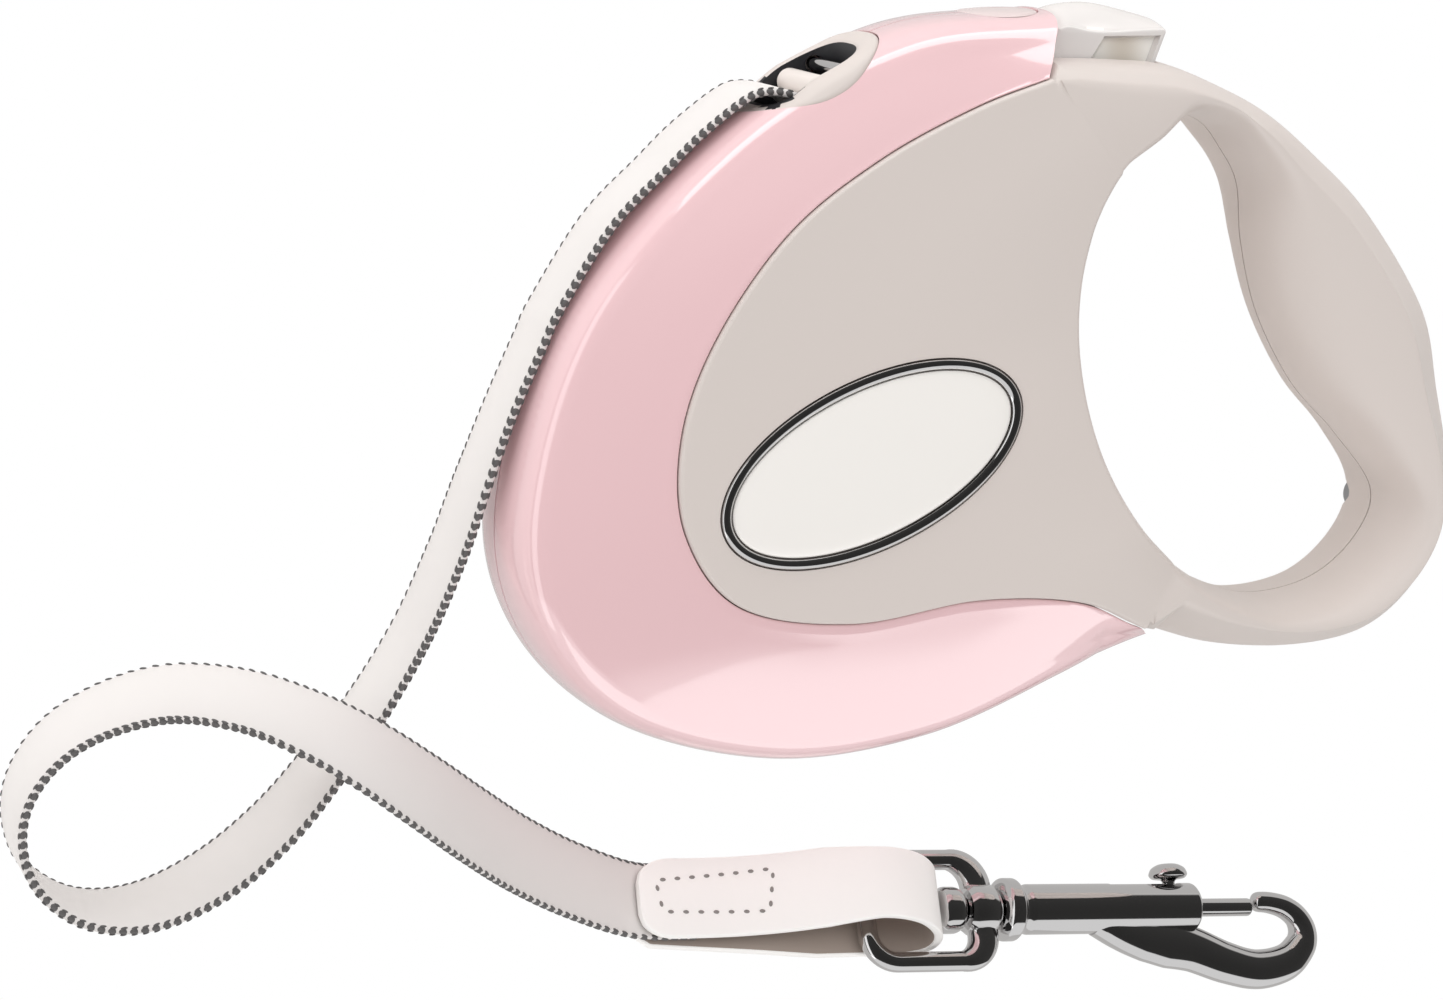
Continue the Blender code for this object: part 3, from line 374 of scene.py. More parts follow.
# Each row: finger hole x, y, rim x, y, rounding at the hole and at the rim, shoulder height,
# face width, crest height. The end faces are set back from the next row by parts of a row
handle = {"rows": [
    (49, 35.5, 37.4, 52.6, 2.6, 2, 14.4, 3.6, 16),
    (54.5, 38.5, 48, 52, 3.2, 2.4, 14, 4.4, 15.6),
    (61, 42.5, 57, 51, 3.6, 2.8, 13.2, 4.4, 14.6),
    (67.5, 41, 66.5, 47.5, 3, 2.8, 12.6, 3.4, 13.5),
    (71.5, 36.5, 75.5, 43, 3.2, 3.6, 12.6, 4, 13),
    (74.5, 31, 84.5, 36, 5.2, 5, 12.6, 5.6, 13),
    (75.5, 22, 94.5, 26.5, 12, 6, 12.6, 6.7, 13.2),
    (78.5, 11, 105, 11, 17, 6.8, 12.7, 7.5, 13.4),
    (85, -0.5, 108.5, -2, 15.4, 6.6, 12.7, 7.1, 13.4),
    (93, -9, 111, -15, 11.6, 6.2, 12.6, 6.6, 13.3),
    (100, -18.5, 109, -25, 6.2, 4.2, 12.4, 4.6, 13.2),
    (97.5, -26, 104, -34, 5.4, 4.2, 12.3, 4.6, 13),
    (89.5, -32, 95.5, -40, 5, 4.2, 12.3, 4.6, 13),
    (78, -33.5, 83, -41.5, 4.2, 4.4, 12.4, 4.9, 13.2),
    (68, -30, 69.5, -40, 3.4, 4.6, 12.3, 5.4, 13.8),
    (61, -25.5, 57.5, -36, 2.8, 4, 11.8, 5.5, 14.6)],
    "steps": 150, "fullness": 0.66, "ease": 1.6,
    "endEase": 0.5, "endsBack": (0.6, 0.5), "endDepths": (1.9, 1.4), "endKnee": (1.2, 0.8),
    "endLap": 0.3}

# Each row: finger hole x, y, plate edge x, y, crest height
plate = {"rows": [
    (59, -23.5, 53, -34, 14.4), (54, -18.5, 41, -28.5, 15.8),
    (50, -13, 24, -26.7, 16), (46.5, -6.5, 4, -28.4, 16),
    (44, 0.5, -13.6, -24.4, 16), (42.5, 7.5, -22, -13, 16),
    (42, 14, -22.6, 1, 16), (42.5, 20.5, -17.2, 15, 16),
    (44, 26.5, -6, 29.5, 16), (45.5, 30, 8, 39.3, 16),
    (47, 32.5, 23, 46.2, 16), (48, 34, 35, 50, 16)],
    "steps": 130, "wall": 2.4, "holeWall": 2.8, "holeRound": 2.6, "edge": 0.7}

# Rim x, y. Ends are fractions of its length; past the tip's the gap widens at its rate.
# Parts: depth and wall of the face's width at most, lip of the wall, inner rounding of the outer
cover = {"rows": [
    (40.5, 59), (15, 57), (-11.5, 44), (-35.4, 19.8), (-45.2, -7), (-43, -27),
    (-29.5, -42.5), (-5.5, -50.5), (19, -49.5), (41, -42.5), (57.5, -36)],
    "steps": 260, "ends": (0.003, 0.994), "wall": 2, "depth": 5, "shoulder": 11.8, "set": 0.7,
    "depthPart": 0.55, "wallPart": 0.28, "lip": 0.35, "lipPart": 0.2, "innerPart": 0.85,
    "gap": 0.14, "tip": (0.95, 9), "fullness": 0.75, "crownSlope": 0.35, "crownBend": 114}


# The rounded rim: distance in from the edge and height, from the split up to the shoulder
def rimCurve(depth, height, slope, fullness, count=18):
    reach = 0.35  # of the depth, where the shoulder's slope takes over
    knots = np.array([(0.0, splitGap), (0.0, fullness * height),
                      (reach * depth, height - (1 - reach) * depth * slope), (depth, height)])
    steps = np.linspace(0, 1, count)[:, None]
    return ((1 - steps) ** 3 * knots[0] + 3 * steps * (1 - steps) ** 2 * knots[1]
            + 3 * steps ** 2 * (1 - steps) * knots[2] + steps ** 3 * knots[3])


crown = rimCurve(cover["depth"], cover["shoulder"], cover["crownSlope"], cover["fullness"])


def holeRound(hole, inward, width, crest):
    return [(*(hole + inward * width * aside), splitGap + (crest - splitGap) * rise)
            for aside, rise in quarterArc(16)]


def handleSection(hole, knee, rim, roundWidth, depth, shoulder, crest, ease):
    inward = unit(knee - hole)
    back = unit(knee - rim)
    slope = (crest - shoulder) / (np.linalg.norm(knee - rim) - depth)
    section = holeRound(hole, inward, roundWidth, crest)
    edge = [(*(rim + back * inset), height)
            for inset, height in rimCurve(depth, shoulder, slope, handle["fullness"])[::-1]]
    section += easedCorner(section[-1], (*knee, crest), edge[0], ease)
    section += edge
    section += [(*(hole + (knee - hole) * part), splitGap) for part in (1.0, 0.66, 0.33)]
    return section


def plateSection(hole, edge, crest):
    inward = unit(edge - hole)
    section = holeRound(hole, inward, plate["holeRound"], crest)
    start, end = hole + inward * plate["holeRound"], edge - inward * 2 * plate["edge"]
    section += [(*(start + (end - start) * part), crest) for part in np.linspace(0.5, 1.0, 7)]
    section += [(*(edge - inward * plate["edge"] * aside), crest - plate["edge"] * (1 - rise))
                for aside, rise in quarterArc(18)[::-1]]
    under = crest - plate["wall"]
    wallFoot = hole + inward * plate["holeWall"]
    return section + [(*edge, under), (*wallFoot, under), (*wallFoot, splitGap)]


# The handle's end face, where it meets the side plate's edge and the rim
def endSection(hole, plateRow, handleRow, nextRow, depth, shoulder):
    edge, rim, nextRim = (np.array(row[2:4]) for row in (plateRow, handleRow, nextRow))
    inside, outside = handle["endKnee"]
    knee = edge + inside * unit(np.array(plateRow[:2]) - edge) + outside * unit(rim - edge)
    rim = rim + handle["endLap"] * unit(rim - nextRim)
    return handleSection(hole, knee, rim, plate["holeRound"], depth, shoulder, plateRow[4],
                         handle["endEase"])


# Round the finger hole: the handle, its lower end face, the side plate and the upper end face
def frameSections():
    handleRows, plateRows = handle["rows"], plate["rows"]
    holes = [row[:2] for row in handleRows + plateRows]
    count = len(handleRows)
    (lowBack, highBack), (lowDepth, highDepth) = handle["endsBack"], handle["endDepths"]
    sections = []
    for at in np.linspace(0, count - 1, handle["steps"]):
        row = spline(handleRows, at)
        hole = spline(holes, at, closed=True)
        knee = row[2:4] + unit(hole - row[2:4]) * row[7]
        sections.append(handleSection(hole, knee, row[2:4], *row[[4, 5, 6, 8]], handle["ease"]))
    hole = spline(holes, count - lowBack, closed=True)
    sections.append(endSection(hole, plateRows[0], handleRows[-1], handleRows[-2], lowDepth,
                               cover["shoulder"]))
    for at in np.linspace(0, len(plateRows) - 1, plate["steps"]):
        row = spline(plateRows, at)
        hole = spline(holes, count + at, closed=True)
        sections.append(plateSection(hole, row[2:4], min(row[4], midHeight)))
    hole = spline(holes, len(holes) - highBack, closed=True)
    sections.append(endSection(hole, plateRows[-1], handleRows[0], handleRows[1], highDepth,
                               handleRows[0][6]))
    return sections


def coverSections():
    fractions = np.linspace(*cover["ends"], cover["steps"])
    rims = even(cover["rows"], fractions)
    edges = even([row[2:] for row in plate["rows"][::-1]], fractions)
    shoulder, fullness = cover["shoulder"], cover["fullness"]
    tipStart, tipRate = cover["tip"]
    sections = []
    for fraction, rim, (x, y, crest) in zip(fractions, rims, edges):
        back = unit(np.array((x, y)) - rim)
        clear = cover["gap"] + tipRate * max(0.0, fraction - tipStart)
        face = np.linalg.norm(np.array((x, y)) - rim) - clear
        # Both shrink where the crescent runs out to its tips
        depth = min(cover["depth"], cover["depthPart"] * face)
        wall = min(cover["wall"], cover["wallPart"] * face)
        top = crest - cover["set"]
        slope = (top - shoulder) / (face - depth)
        outer = [tuple(point) for point in rimCurve(depth, shoulder, slope, fullness)]
        for part in np.linspace(0, 1, 12)[1:]:
            inset = depth + (face - depth) * part
            outer.append((inset, shoulder + slope * (inset - depth) + part * (1 - part)))
        lipIn, lipHigh = outer.pop()
        ease = min(cover["lip"], cover["lipPart"] * wall)
        outer += [(lipIn - ease * aside, lipHigh - ease * (1 - rise))
                  for aside, rise in quarterArc(5)[::-1]]
        inner = [(wall + cover["innerPart"] * inset, height * (1 - wall / shoulder))
                 for inset, height in rimCurve(depth, shoulder, slope, fullness, 8)[1:]]
        inner.append((face, top - wall))
        profile = outer + inner[::-1] + [(wall, splitGap)]
        sections.append([(*(rim + back * inset), height) for inset, height in profile])
    return sections


def halfOf(name, sections, side, closed):
    rings = [[(x, y, midHeight + side * height) for x, y, height in ring] for ring in sections]
    return skin(name, rings, closed)


# A place on the covers' rim: its point, the way along the rim towards the handle and the way out
def rimFrame(fraction, step=0.004):
    near, far = even(cover["rows"], [fraction - step, fraction + step])
    along = unit(near - far)
    return (near + far) / 2, along, np.array((-along[1], along[0]))


# How far the rim's crown falls away at a distance along it and across it
def crownFall(t, z):
    return t * t / cover["crownBend"] + np.interp(abs(z), crown[:, 1], crown[:, 0])


# A ring that follows the crown; square over 2 fills out its corners
def oval(place, long, short, height, square, leftDrop=0.0, sides=96):
    point, along, out = place
    ring = []
    for turn in turns(sides):
        t = long * copysign(abs(cos(turn)) ** (2 / square), cos(turn))
        z = short * copysign(abs(sin(turn)) ** (2 / square), sin(turn))
        rise = height - crownFall(t, z) - leftDrop * min(1.0, max(0.0, -2 * cos(turn)))
        ring.append((*(point + along * t + out * rise), midHeight + z))
    return ring


# Holes and seats: half length, half width, low and high; roller and post: along the rim and out.
# The throat's painted shade reaches to depth, half length and half width; bezel steps are what oval
# takes
outlet = {
    "place": rimFrame(0.16), "hole": (11.6, 8.75, -9, 4), "seat": (12.15, 11.2, -1.4, 4),
    "square": 2.3, "throat": (-0.35, 9, 7.8), "pinSeat": 7.9,
    "roller": (-0.4, -3), "rollerSeat": 1.1, "post": (4.6, -2.9), "postSeat": 1.3,
    "bezel": [
        (12, 11, -1, 2.3, 0), (12, 11, 0.15, 2.3, 0.75), (11.85, 10.9, 0.38, 2.3, 0.8),
        (11.5, 10.6, 0.55, 2.35, 0.9), (11, 10.2, 0.6, 2.4, 0.95), (9.9, 9, 0.45, 2.6, 1),
        (9, 7.8, 0.15, 2.8, 1), (8.4, 7.2, -0.2, 3, 0.9), (7.6, 7, -1.2, 3.5, 0.6),
        (6.8, 6.95, -3.2, 4, 0.2), (6.2, 6.9, -5.5, 4.5, 0), (7.2, 8.1, -5.5, 3, 0),
        (11.2, 8.3, -2.6, 2.3, 0), (11.2, 8.3, -1, 2.3, 0)],
    "rollerProfile": [(1.1, 9.8), (1.5, 9.8), (1.95, 10.4), (1.95, 21.6), (1.5, 22.2), (1.1, 22.2)],
    "postProfile": [(1, 8.4), (1, 23.6)]}
inlay = {
    "place": rimFrame(0.0285), "hole": (5.8, 6.7, -1.2, 4),
    "steps": [(5.6, 6.5, -0.85), (5.6, 6.5, 0.1), (5.5, 6.4, 0.2), (5.1, 6, 0.3), (3.8, 4.4, 0.3),
              (2, 2.4, 0.3)]}
screws = {
    "places": [(104.2, -21.6), (79.4, 33.9), (59.8, -30.5)], "sides": 40,
    "frontBore": [(1.75, 15), (1.75, 24)],
    "rearBore": [(3.2, -1), (3.2, 8), (1.9, 8), (1.9, 17)],
    "profile": [(0.01, 5), (2.2, 5.05), (2.8, 5.6), (2.8, 7.7), (1.45, 7.7), (1.45, 22.4),
                (0.8, 23.2)],
    "recess": (-1.7, 1.7, -0.35, 0.35), "recessHeights": (4, 6.3), "recessTurn": 0.4}
# Steps: distance in from the edge, height
badge = {
    "at": (6.95, -4.7), "turn": 20.3, "long": 24.9, "short": 12.7,
    "seat": (14.8, 18), "clear": 0.25,
    "ring": [(0, 15.1), (0, 16), (0.06, 16.15), (0.2, 16.3), (0.4, 16.42), (0.65, 16.49),
             (0.9, 16.47), (1.15, 16.38), (1.38, 16.22), (1.5, 16.05), (1.5, 15.1)],
    "plateIn": 1.8,
    "plate": [(0, 15.1), (0, 15.9), (0.1, 16), (0.5, 16.12), (2, 16.22), (5, 16.32),
              (8, 16.36)]}

# Well and slot: from, to, low, high. Top: along, height at the flanks and in the middle.
# Scoop corners: along, height, each followed by its change for a millimetre of inset
button = {
    "start": np.array((42.5, 57.2)), "along": unit((0.927, -0.375)), "out": unit((0.375, 0.927)),
    "half": 7.6, "low": -7.4, "edge": (0.6, 0.5), "sharp": 40,
    "well": (-2.45, 15.35, -10.5, 9), "wellGap": 0.4,
    "slot": (3.9, 9.5, -30, -9.5), "slotHeights": (13, 26.9),
    "top": [(-2.1, -1.6, 0.2), (-0.6, -0.6, 1.9), (2.4, -0.1, 3.5), (5.6, 0.8, 4.5),
            (9.6, 2.5, 5.1), (13.2, 4, 5.5), (14.5, 4.4, 5.5), (15, 3.8, 4.9)],
    "scoop": [(3.6, 1, -8.4, 0), (5.4, 1, -0.1, -0.4), (14.2, -0.3, 3.2, -0.6),
              (14.2, -0.3, -8.4, 0)],
    "scoopDepth": 1.3, "scoopRound": 1.2, "scoopFloor": (0.4, 0.7)}


def onButton(s, h):
    return tuple(button["start"] + button["along"] * s + button["out"] * h)


def prism(name, outline, low, high, place=None):
    return skin(name, [[(x, y, z) for x, y in outline] for z in (low, high)], False, place)


def boxOutline(left, right, low, high):
    return [(left, low), (right, low), (right, high), (left, high)]


def crownPlug(name, place, long, short, low, high):
    return skin(name, [oval(place, long, short, rise, outlet["square"]) for rise in (low, high)])


def buttonPlug(name, outline, low, high):
    return prism(name, [onButton(s, h) for s, h in boxOutline(*outline)], low, high)


badgeX, badgeY = badge["at"]
badgeMiddle = Vector((badgeX + datumShift.x, badgeY + datumShift.y, midHeight)) * mm
badgePlace = Matrix.Translation(badgeMiddle) @ Matrix.Rotation(radians(badge["turn"]), 4, "Z")


def makeHousing():
    frames, covers = frameSections(), coverSections()
    wellHalf = button["half"] + button["wellGap"]
    for side, word in ((1, "front"), (-1, "rear")):
        half = halfOf(word + "Frame", frames, side, True)
        lumps = [buttonPlug("well", button["well"], midHeight - wellHalf, midHeight + wellHalf),
                 buttonPlug("barSlot", button["slot"], *button["slotHeights"])]
        if side > 0:
            edge = ellipse(badge["long"] + badge["clear"], badge["short"] + badge["clear"])
            lumps.append(prism("badgeSeat", edge, *badge["seat"], badgePlace))
        lumps += [shift(turned("seat", screws[word + "Bore"], screws["sides"]), x, y)
                  for x, y in screws["places"]]
        carve(half, lumps)
        dress(half, greySatin, "housing", "warm_grey_abs", word + "_frame_half")
        shell = halfOf(word + "Cover", covers, side, False)
        carve(shell, [crownPlug("outletHole", outlet["place"], *outlet["hole"]),
                      crownPlug("outletSeat", outlet["place"], *outlet["seat"]),
                      crownPlug("inlaySeat", inlay["place"], *inlay["hole"])])
        dress(shell, pinkGloss, "housing", "gloss_pink_abs", word + "_cover")


makeHousing()
print("housing made")


def badgeRings(steps, start):
    long, short = badge["long"] - start, badge["short"] - start
    return [[(x, y, z) for x, y in ellipse(long - inset, short - inset)] for inset, z in steps]


# Badge: a bare satin plate in a bright crowned ring
def makeBadge():
    ring = skin("badgeRing", badgeRings(badge["ring"], 0), True, badgePlace)
    dress(ring, chromePlate, "housing", "bright_chrome", "badge_ring")
    face = skin("badgePlate", badgeRings(badge["plate"], badge["plateIn"]), False, badgePlace)
    dress(face, silverPlate, "housing", "satin_silver", "badge_plate")


makeBadge()


# Screws in the rear half, each with a cross recess
def makeScrews():
    for index, (x, y) in enumerate(screws["places"]):
        screw = turned("housingScrew%d" % (index + 1), screws["profile"], screws["sides"])
        slots = []
        for turn in (screws["recessTurn"], screws["recessTurn"] + pi / 2):
            bar = prism("slot", boxOutline(*screws["recess"]), *screws["recessHeights"],
                        Matrix.Rotation(turn, 4, "Z"))
            slots.append(shift(bar, datumShift.x, datumShift.y))
        carve(screw, slots)
        shift(screw, x, y)
        dress(screw, plainSteel, "housing", "spring_steel", "housing_screw_%d" % (index + 1))


makeScrews()


# Button: outlines side by side across it, crowned in the middle, with a scoop in both flanks
def makeButton():
    top, half, low, sharp = button["top"], button["half"], button["low"], button["sharp"]
    tops = np.array([spline(top, at) for at in np.linspace(0, len(top) - 1, 90)])
    across, down = button["edge"]
    flat = half - across
    ends = [(flat + across * rise, down * aside) for aside, rise in quarterArc(6)]
    places = [(-z, inset) for z, inset in ends[::-1]]
    places += [(z, 0.0) for z in np.linspace(-flat, flat, 41)[1:-1]] + ends
    rings = []
    for z, inset in places:
        rounded = max(0.0, 1 - (z / flat) ** 2)
        first, last = tops[0][0] + inset, tops[-1][0] - inset
        outline = [(first, low)]
        outline += [(min(max(s, first), last), flank + (middle - flank) * rounded - inset)
                    for s, flank, middle in tops]
        rings.append([(*onButton(s, h), midHeight + z) for s, h in outline + [(last, low)]])
    made = skin("brakeButton", rings, False, None, sharp)
    steps = [(half + 1.0, 0.0)]
    steps += [(half - button["scoopDepth"] * rise, button["scoopRound"] * aside)
              for aside, rise in quarterArc(7)]
    lumps = []
    for side in (1, -1):
        rings = [[(*onButton(s + sIn * inset, h + hIn * inset), midHeight + side * z)
                  for s, sIn, h, hIn in button["scoop"]] for z, inset in steps]
        lumps.append(skin("scoop", rings))
    carve(made, lumps, "DIFFERENCE", sharp)
    dress(made, pearlMetal, "brake", "pearl_chrome", "brake_button")
    # The scoops' floor takes the paler streaked material: painted light and painted sheen
    made.data.materials.append(brushedSheenMetal)
    deep, facing = button["scoopFloor"]
    for face in made.data.polygons:
        inScoop = abs(face.center.z / mm - midHeight) < half - deep and abs(face.normal.z) > facing
        face.material_index = 1 if inScoop else 0
    rings = [oval(inlay["place"], *step, outlet["square"]) for step in inlay["steps"]]
    dress(skin("buttonInlay", rings), pearlPink, "housing", "pearl_abs", "button_inlay")


makeButton()


# Painted shade: the bezel's own faces in the throat under its lip take the black acetal, standing
# in for the shade of the dark cavity behind them
def shadeThroat(bezel):
    point, along, out = outlet["place"]
    lip, long, short = outlet["throat"]
    bezel.data.materials.append(blackAcetal)
    for face in bezel.data.polygons:
        x, y, z = np.array(face.center) / mm - np.array((datumShift.x, datumShift.y, midHeight))
        offset = np.array((x, y)) - point
        t = offset @ along
        deep = offset @ out + crownFall(t, z)
        face.material_index = 1 if deep < lip and abs(t) < long and abs(z) < short else 0


# A round piece across the outlet, at the roller's or the post's place
def acrossOutlet(name, key, profile, sides, closed=False, ease=0.0):
    point, along, out = outlet["place"]
    x, y = point + along * outlet[key][0] + out * outlet[key][1]
    return shift(turned(name, profile, sides, closed, None, ease), x, y)


# Outlet: the bezel's profile is a smooth run through its steps, with the roller and the post in it
def makeOutlet():
    sharp, reach = 45, outlet["pinSeat"]
    rings = [oval(outlet["place"], *step) for step in outlet["bezel"]]
    bezel = skin("outletBezel", rings, True, None, sharp)
    seats = []
    for key in ("roller", "post"):
        radius = outlet[key + "Seat"]
        profile = [(radius, midHeight - reach), (radius, midHeight + reach)]
        seats.append(acrossOutlet("seat", key, profile, 32))
    carve(bezel, seats, "DIFFERENCE", sharp)
    dress(bezel, greySatin, "housing", "warm_grey_abs", "outlet_bezel")
    # The throat's black is painted shade
    shadeThroat(bezel)
    roller = acrossOutlet("guideRoller", "roller", outlet["rollerProfile"], 48, True, 0.4)
    dress(roller, ivoryAcetal, "guide_roller", "ivory_acetal", "guide_roller")
    post = acrossOutlet("guidePost", "post", outlet["postProfile"], 48)
    dress(post, chromePlate, "housing", "bright_chrome", "guide_post")


makeOutlet()
print("button and outlet made")

# Tape

# Each row: the tape's middle and the lean of its width, in degrees to the left of its run.
# Stitch sizes: length, width and height; slant is across the tape and roll out of it
tape = {"rows": [
    (1, 46.3, 16, 0), (-1, 47.9, 16, 0), (-4.8, 48.8, 16, 0), (-8.6, 48, 16, 0),
    (-15.6, 43.2, 16, 0), (-21, 38.4, 16, 0), (-29.4, 30.6, 16, 0),
    (-37.5, 18.9, 16, 0), (-40, 14, 16, 0), (-44.4, 4.5, 15.6, 0),
    (-48, -5.5, 14.3, 2), (-51.2, -17.5, 10.4, 4), (-55.6, -29.5, 7, 6),
    (-62.3, -40.2, 6.3, 9), (-68.5, -47.7, 6.3, 13), (-76.4, -56.2, 6.3, 17),
    (-85.9, -63.2, 6.2, 19), (-96.6, -67, 6.2, 16), (-106, -66, 6.2, 10),
    (-112.8, -60.6, 6.2, 4), (-115, -53.3, 6.2, 0), (-113.5, -46.5, 6.3, -5),
    (-108.5, -40.5, 6.6, -12), (-101, -36.6, 7.4, -19), (-92, -34.8, 9.2, -26),
    (-82.5, -35.9, 13, -34), (-74, -39.3, 16.8, -43), (-66, -44.2, 18.8, -50),
    (-57.5, -50.8, 17.8, -55), (-49, -57.8, 14.4, -57), (-40.5, -64.4, 10.2, -57),
    (-31, -70.4, 7.2, -56), (-20.6, -75.2, 5.7, -55), (-11.2, -76.5, 5.8, -55)],
    "width": 12, "thick": 1.2, "rings": 420, "sides": 20, "edgeRound": 0.9,
    "stitch": 1.5, "stitchIn": 0.26, "stitchSlant": 0.3, "stitchRoll": 0.2, "stitchLift": 0.9,
    "stitchSize": (1.75, 0.8, 0.98), "faceStitchSize": (1.15, 0.46, 0.34)}


# The tape's frame at fractions of its length: middle, run, width and face directions
def tapeFrames(fractions):
    rows = even(tape["rows"], fractions)
    middles = rows[:, :3]
    runs = np.gradient(middles, axis=0)
    frames = []
    for middle, run, lean in zip(middles, runs, np.radians(rows[:, 3])):
        run = unit(run)
        left = unit(np.cross((0, 0, 1), run))
        up = np.cross(run, left)
        across = up * cos(lean) + left * sin(lean)
        frames.append((middle, run, across, np.cross(run, across)))
    return frames


# Thread stitches by Geometry Nodes: an eased dash on every point, turned by the point's directions
def makeStitchTree():
    tree = bpy.data.node_groups.new("threadStitches", "GeometryNodeTree")
    sockets = {}
    for name, kind in (("Geometry", "NodeSocketGeometry"), ("Size", "NodeSocketVector"),
                       ("Thread", "NodeSocketMaterial")):
        sockets[name] = tree.interface.new_socket(name, in_out="INPUT", socket_type=kind).identifier
    tree.interface.new_socket("Geometry", in_out="OUTPUT", socket_type="NodeSocketGeometry")
    source = addNode(tree, "NodeGroupInput")
    dash = addNode(tree, "GeometryNodeMeshUVSphere", {"Segments": 10, "Rings": 6, "Radius": 0.5})
    along, up = (addNode(tree, "GeometryNodeInputNamedAttribute", {"Name": name},
                         data_type="FLOAT_VECTOR") for name in ("along", "up"))
    first = addNode(tree, "FunctionNodeAlignRotationToVector", {"Vector": along}, axis="X")
    second = addNode(tree, "FunctionNodeAlignRotationToVector", {"Rotation": first, "Vector": up},
                     axis="Z", pivot_axis="X")
    place = addNode(tree, "GeometryNodeInstanceOnPoints",
                    {"Points": source, "Instance": dash, "Rotation": second,
                     "Scale": source.outputs["Size"]})
    real = addNode(tree, "GeometryNodeRealizeInstances", {"Geometry": place})
    paint = addNode(tree, "GeometryNodeSetMaterial",
                    {"Geometry": real, "Material": source.outputs["Thread"]})
    addNode(tree, "NodeGroupOutput", {"Geometry": paint})
    return tree, sockets


stitchTree, stitchSockets = makeStitchTree()


# Rows of (place, along, up) become one plain mesh of thread
def sew(name, rows, size, thread, slotName):
    mesh = bpy.data.meshes.new(name)
    mesh.from_pydata([tuple(row[0]) for row in rows], [], [])
    for key, index in (("along", 1), ("up", 2)):
        values = mesh.attributes.new(key, "FLOAT_VECTOR", "POINT")
        vectors = np.array([row[index] for row in rows], np.float32)
        values.data.foreach_set("vector", vectors.ravel())
    made = addObject(name, mesh)
    change = made.modifiers.new("stitches", "NODES")
    change.node_group = stitchTree
    change[stitchSockets["Size"]] = [value * mm for value in size]
    change[stitchSockets["Thread"]] = thread
    settle(made).shade_smooth()
    return dress(made, thread, "housing", slotName)


def toFrame(point):
    return np.array((point[0] + datumShift.x, point[1] + datumShift.y, point[2])) * mm


def makeTape():
    frames = tapeFrames(np.linspace(0, 1, tape["rings"]))
    half, thin = tape["width"] / 2, tape["thick"] / 2
    section = []
    for turn in turns(tape["sides"]):
        side, lift = cos(turn), sin(turn)
        edge = half - thin * (1 - abs(side)) * tape["edgeRound"] if abs(side) > 0.05 else 0.0
        section.append((copysign(edge, side), thin * lift))
    rings = [[middle + across * side + face * lift for side, lift in section]
             for middle, run, across, face in frames]
    made = skin("tapeFree", rings, False, None, 50)
    runs = runsAlong([row[0] for row in frames])
    uvs = made.data.uv_layers.new(name="UVMap")
    for loop in made.data.loops:
        ring, side = divmod(loop.vertex_index, len(section))
        uvs.data[loop.index].uv = (runs[ring] * mm, section[side][0] * mm)
    dress(made, wovenTape, "housing", "white_polyester", "tape")
    # The edge thread shows on the edge itself and, shorter, where it turns onto both faces
    edgeRows, faceRows = [], []
    count = int(runs[-1] / tape["stitch"])
    for middle, run, across, face in tapeFrames((np.arange(count) + 0.5) / count):
        slant = run + across * tape["stitchSlant"]
        for edge in (1, -1):
            place = middle + across * edge * (half - tape["stitchIn"])
            edgeRows.append((toFrame(place), unit(slant + face * tape["stitchRoll"] * edge), face))
            faceRows += [(toFrame(place + face * side * thin * tape["stitchLift"]), unit(slant),
                          face * side) for side in (1, -1)]
    finish = darkThread, "white_polyester"
    threads = [sew("tapeStitches", edgeRows, tape["stitchSize"], *finish),
               sew("tapeFaceStitches", faceRows, tape["faceStitchSize"], *finish)]
    return made, threads, [toFrame(row[0]) for row in frames], runs[-1] * mm


tapeFree, tapeThreads, tapePath, tapeLength = makeTape()
print("tape made, %.4f m" % tapeLength)

# Leather tab, swivel eye and bolt snap

# Headings, slopes and rolls are in degrees
tail = {"collar": (40.1, -83.8, 6.6), "heading": -6.9, "slope": -2, "eyeRoll": 35, "hookRoll": 22,
        "tabHeading": -7.4, "tabSlope": 2}


# A frame with x along the piece, y across it and z out of its upper side, rolled towards +y
def lyingFrame(origin, heading, slope, roll):
    turn = (Matrix.Rotation(radians(heading), 4, "Z") @ Matrix.Rotation(radians(-slope), 4, "Y")
            @ Matrix.Rotation(radians(-roll), 4, "X"))
    return Matrix.Translation(origin) @ turn


collarPoint = Vector(toFrame(tail["collar"]))
eyePlace = lyingFrame(collarPoint, tail["heading"], tail["slope"], tail["eyeRoll"])
hookPlace = lyingFrame(collarPoint, tail["heading"], tail["slope"], tail["hookRoll"])
# Boss: radius, distance from the loop's right side
eye = {"left": -23.3, "right": -3.05, "bar": 1.6, "half": 8.35, "corner": 4.5, "swell": (1, 0.4),
       "swellRun": 4.5,
       "boss": [(3.4, -2.65), (4, -1.8), (4, 1.7), (3.4, 2.55)], "hole": [(2.1, -5), (2.1, 5)]}
barPoint = eyePlace @ Vector((eye["left"] * mm, 0, 0))
tabPlace = lyingFrame(barPoint, tail["tabHeading"], tail["tabSlope"], tail["eyeRoll"])

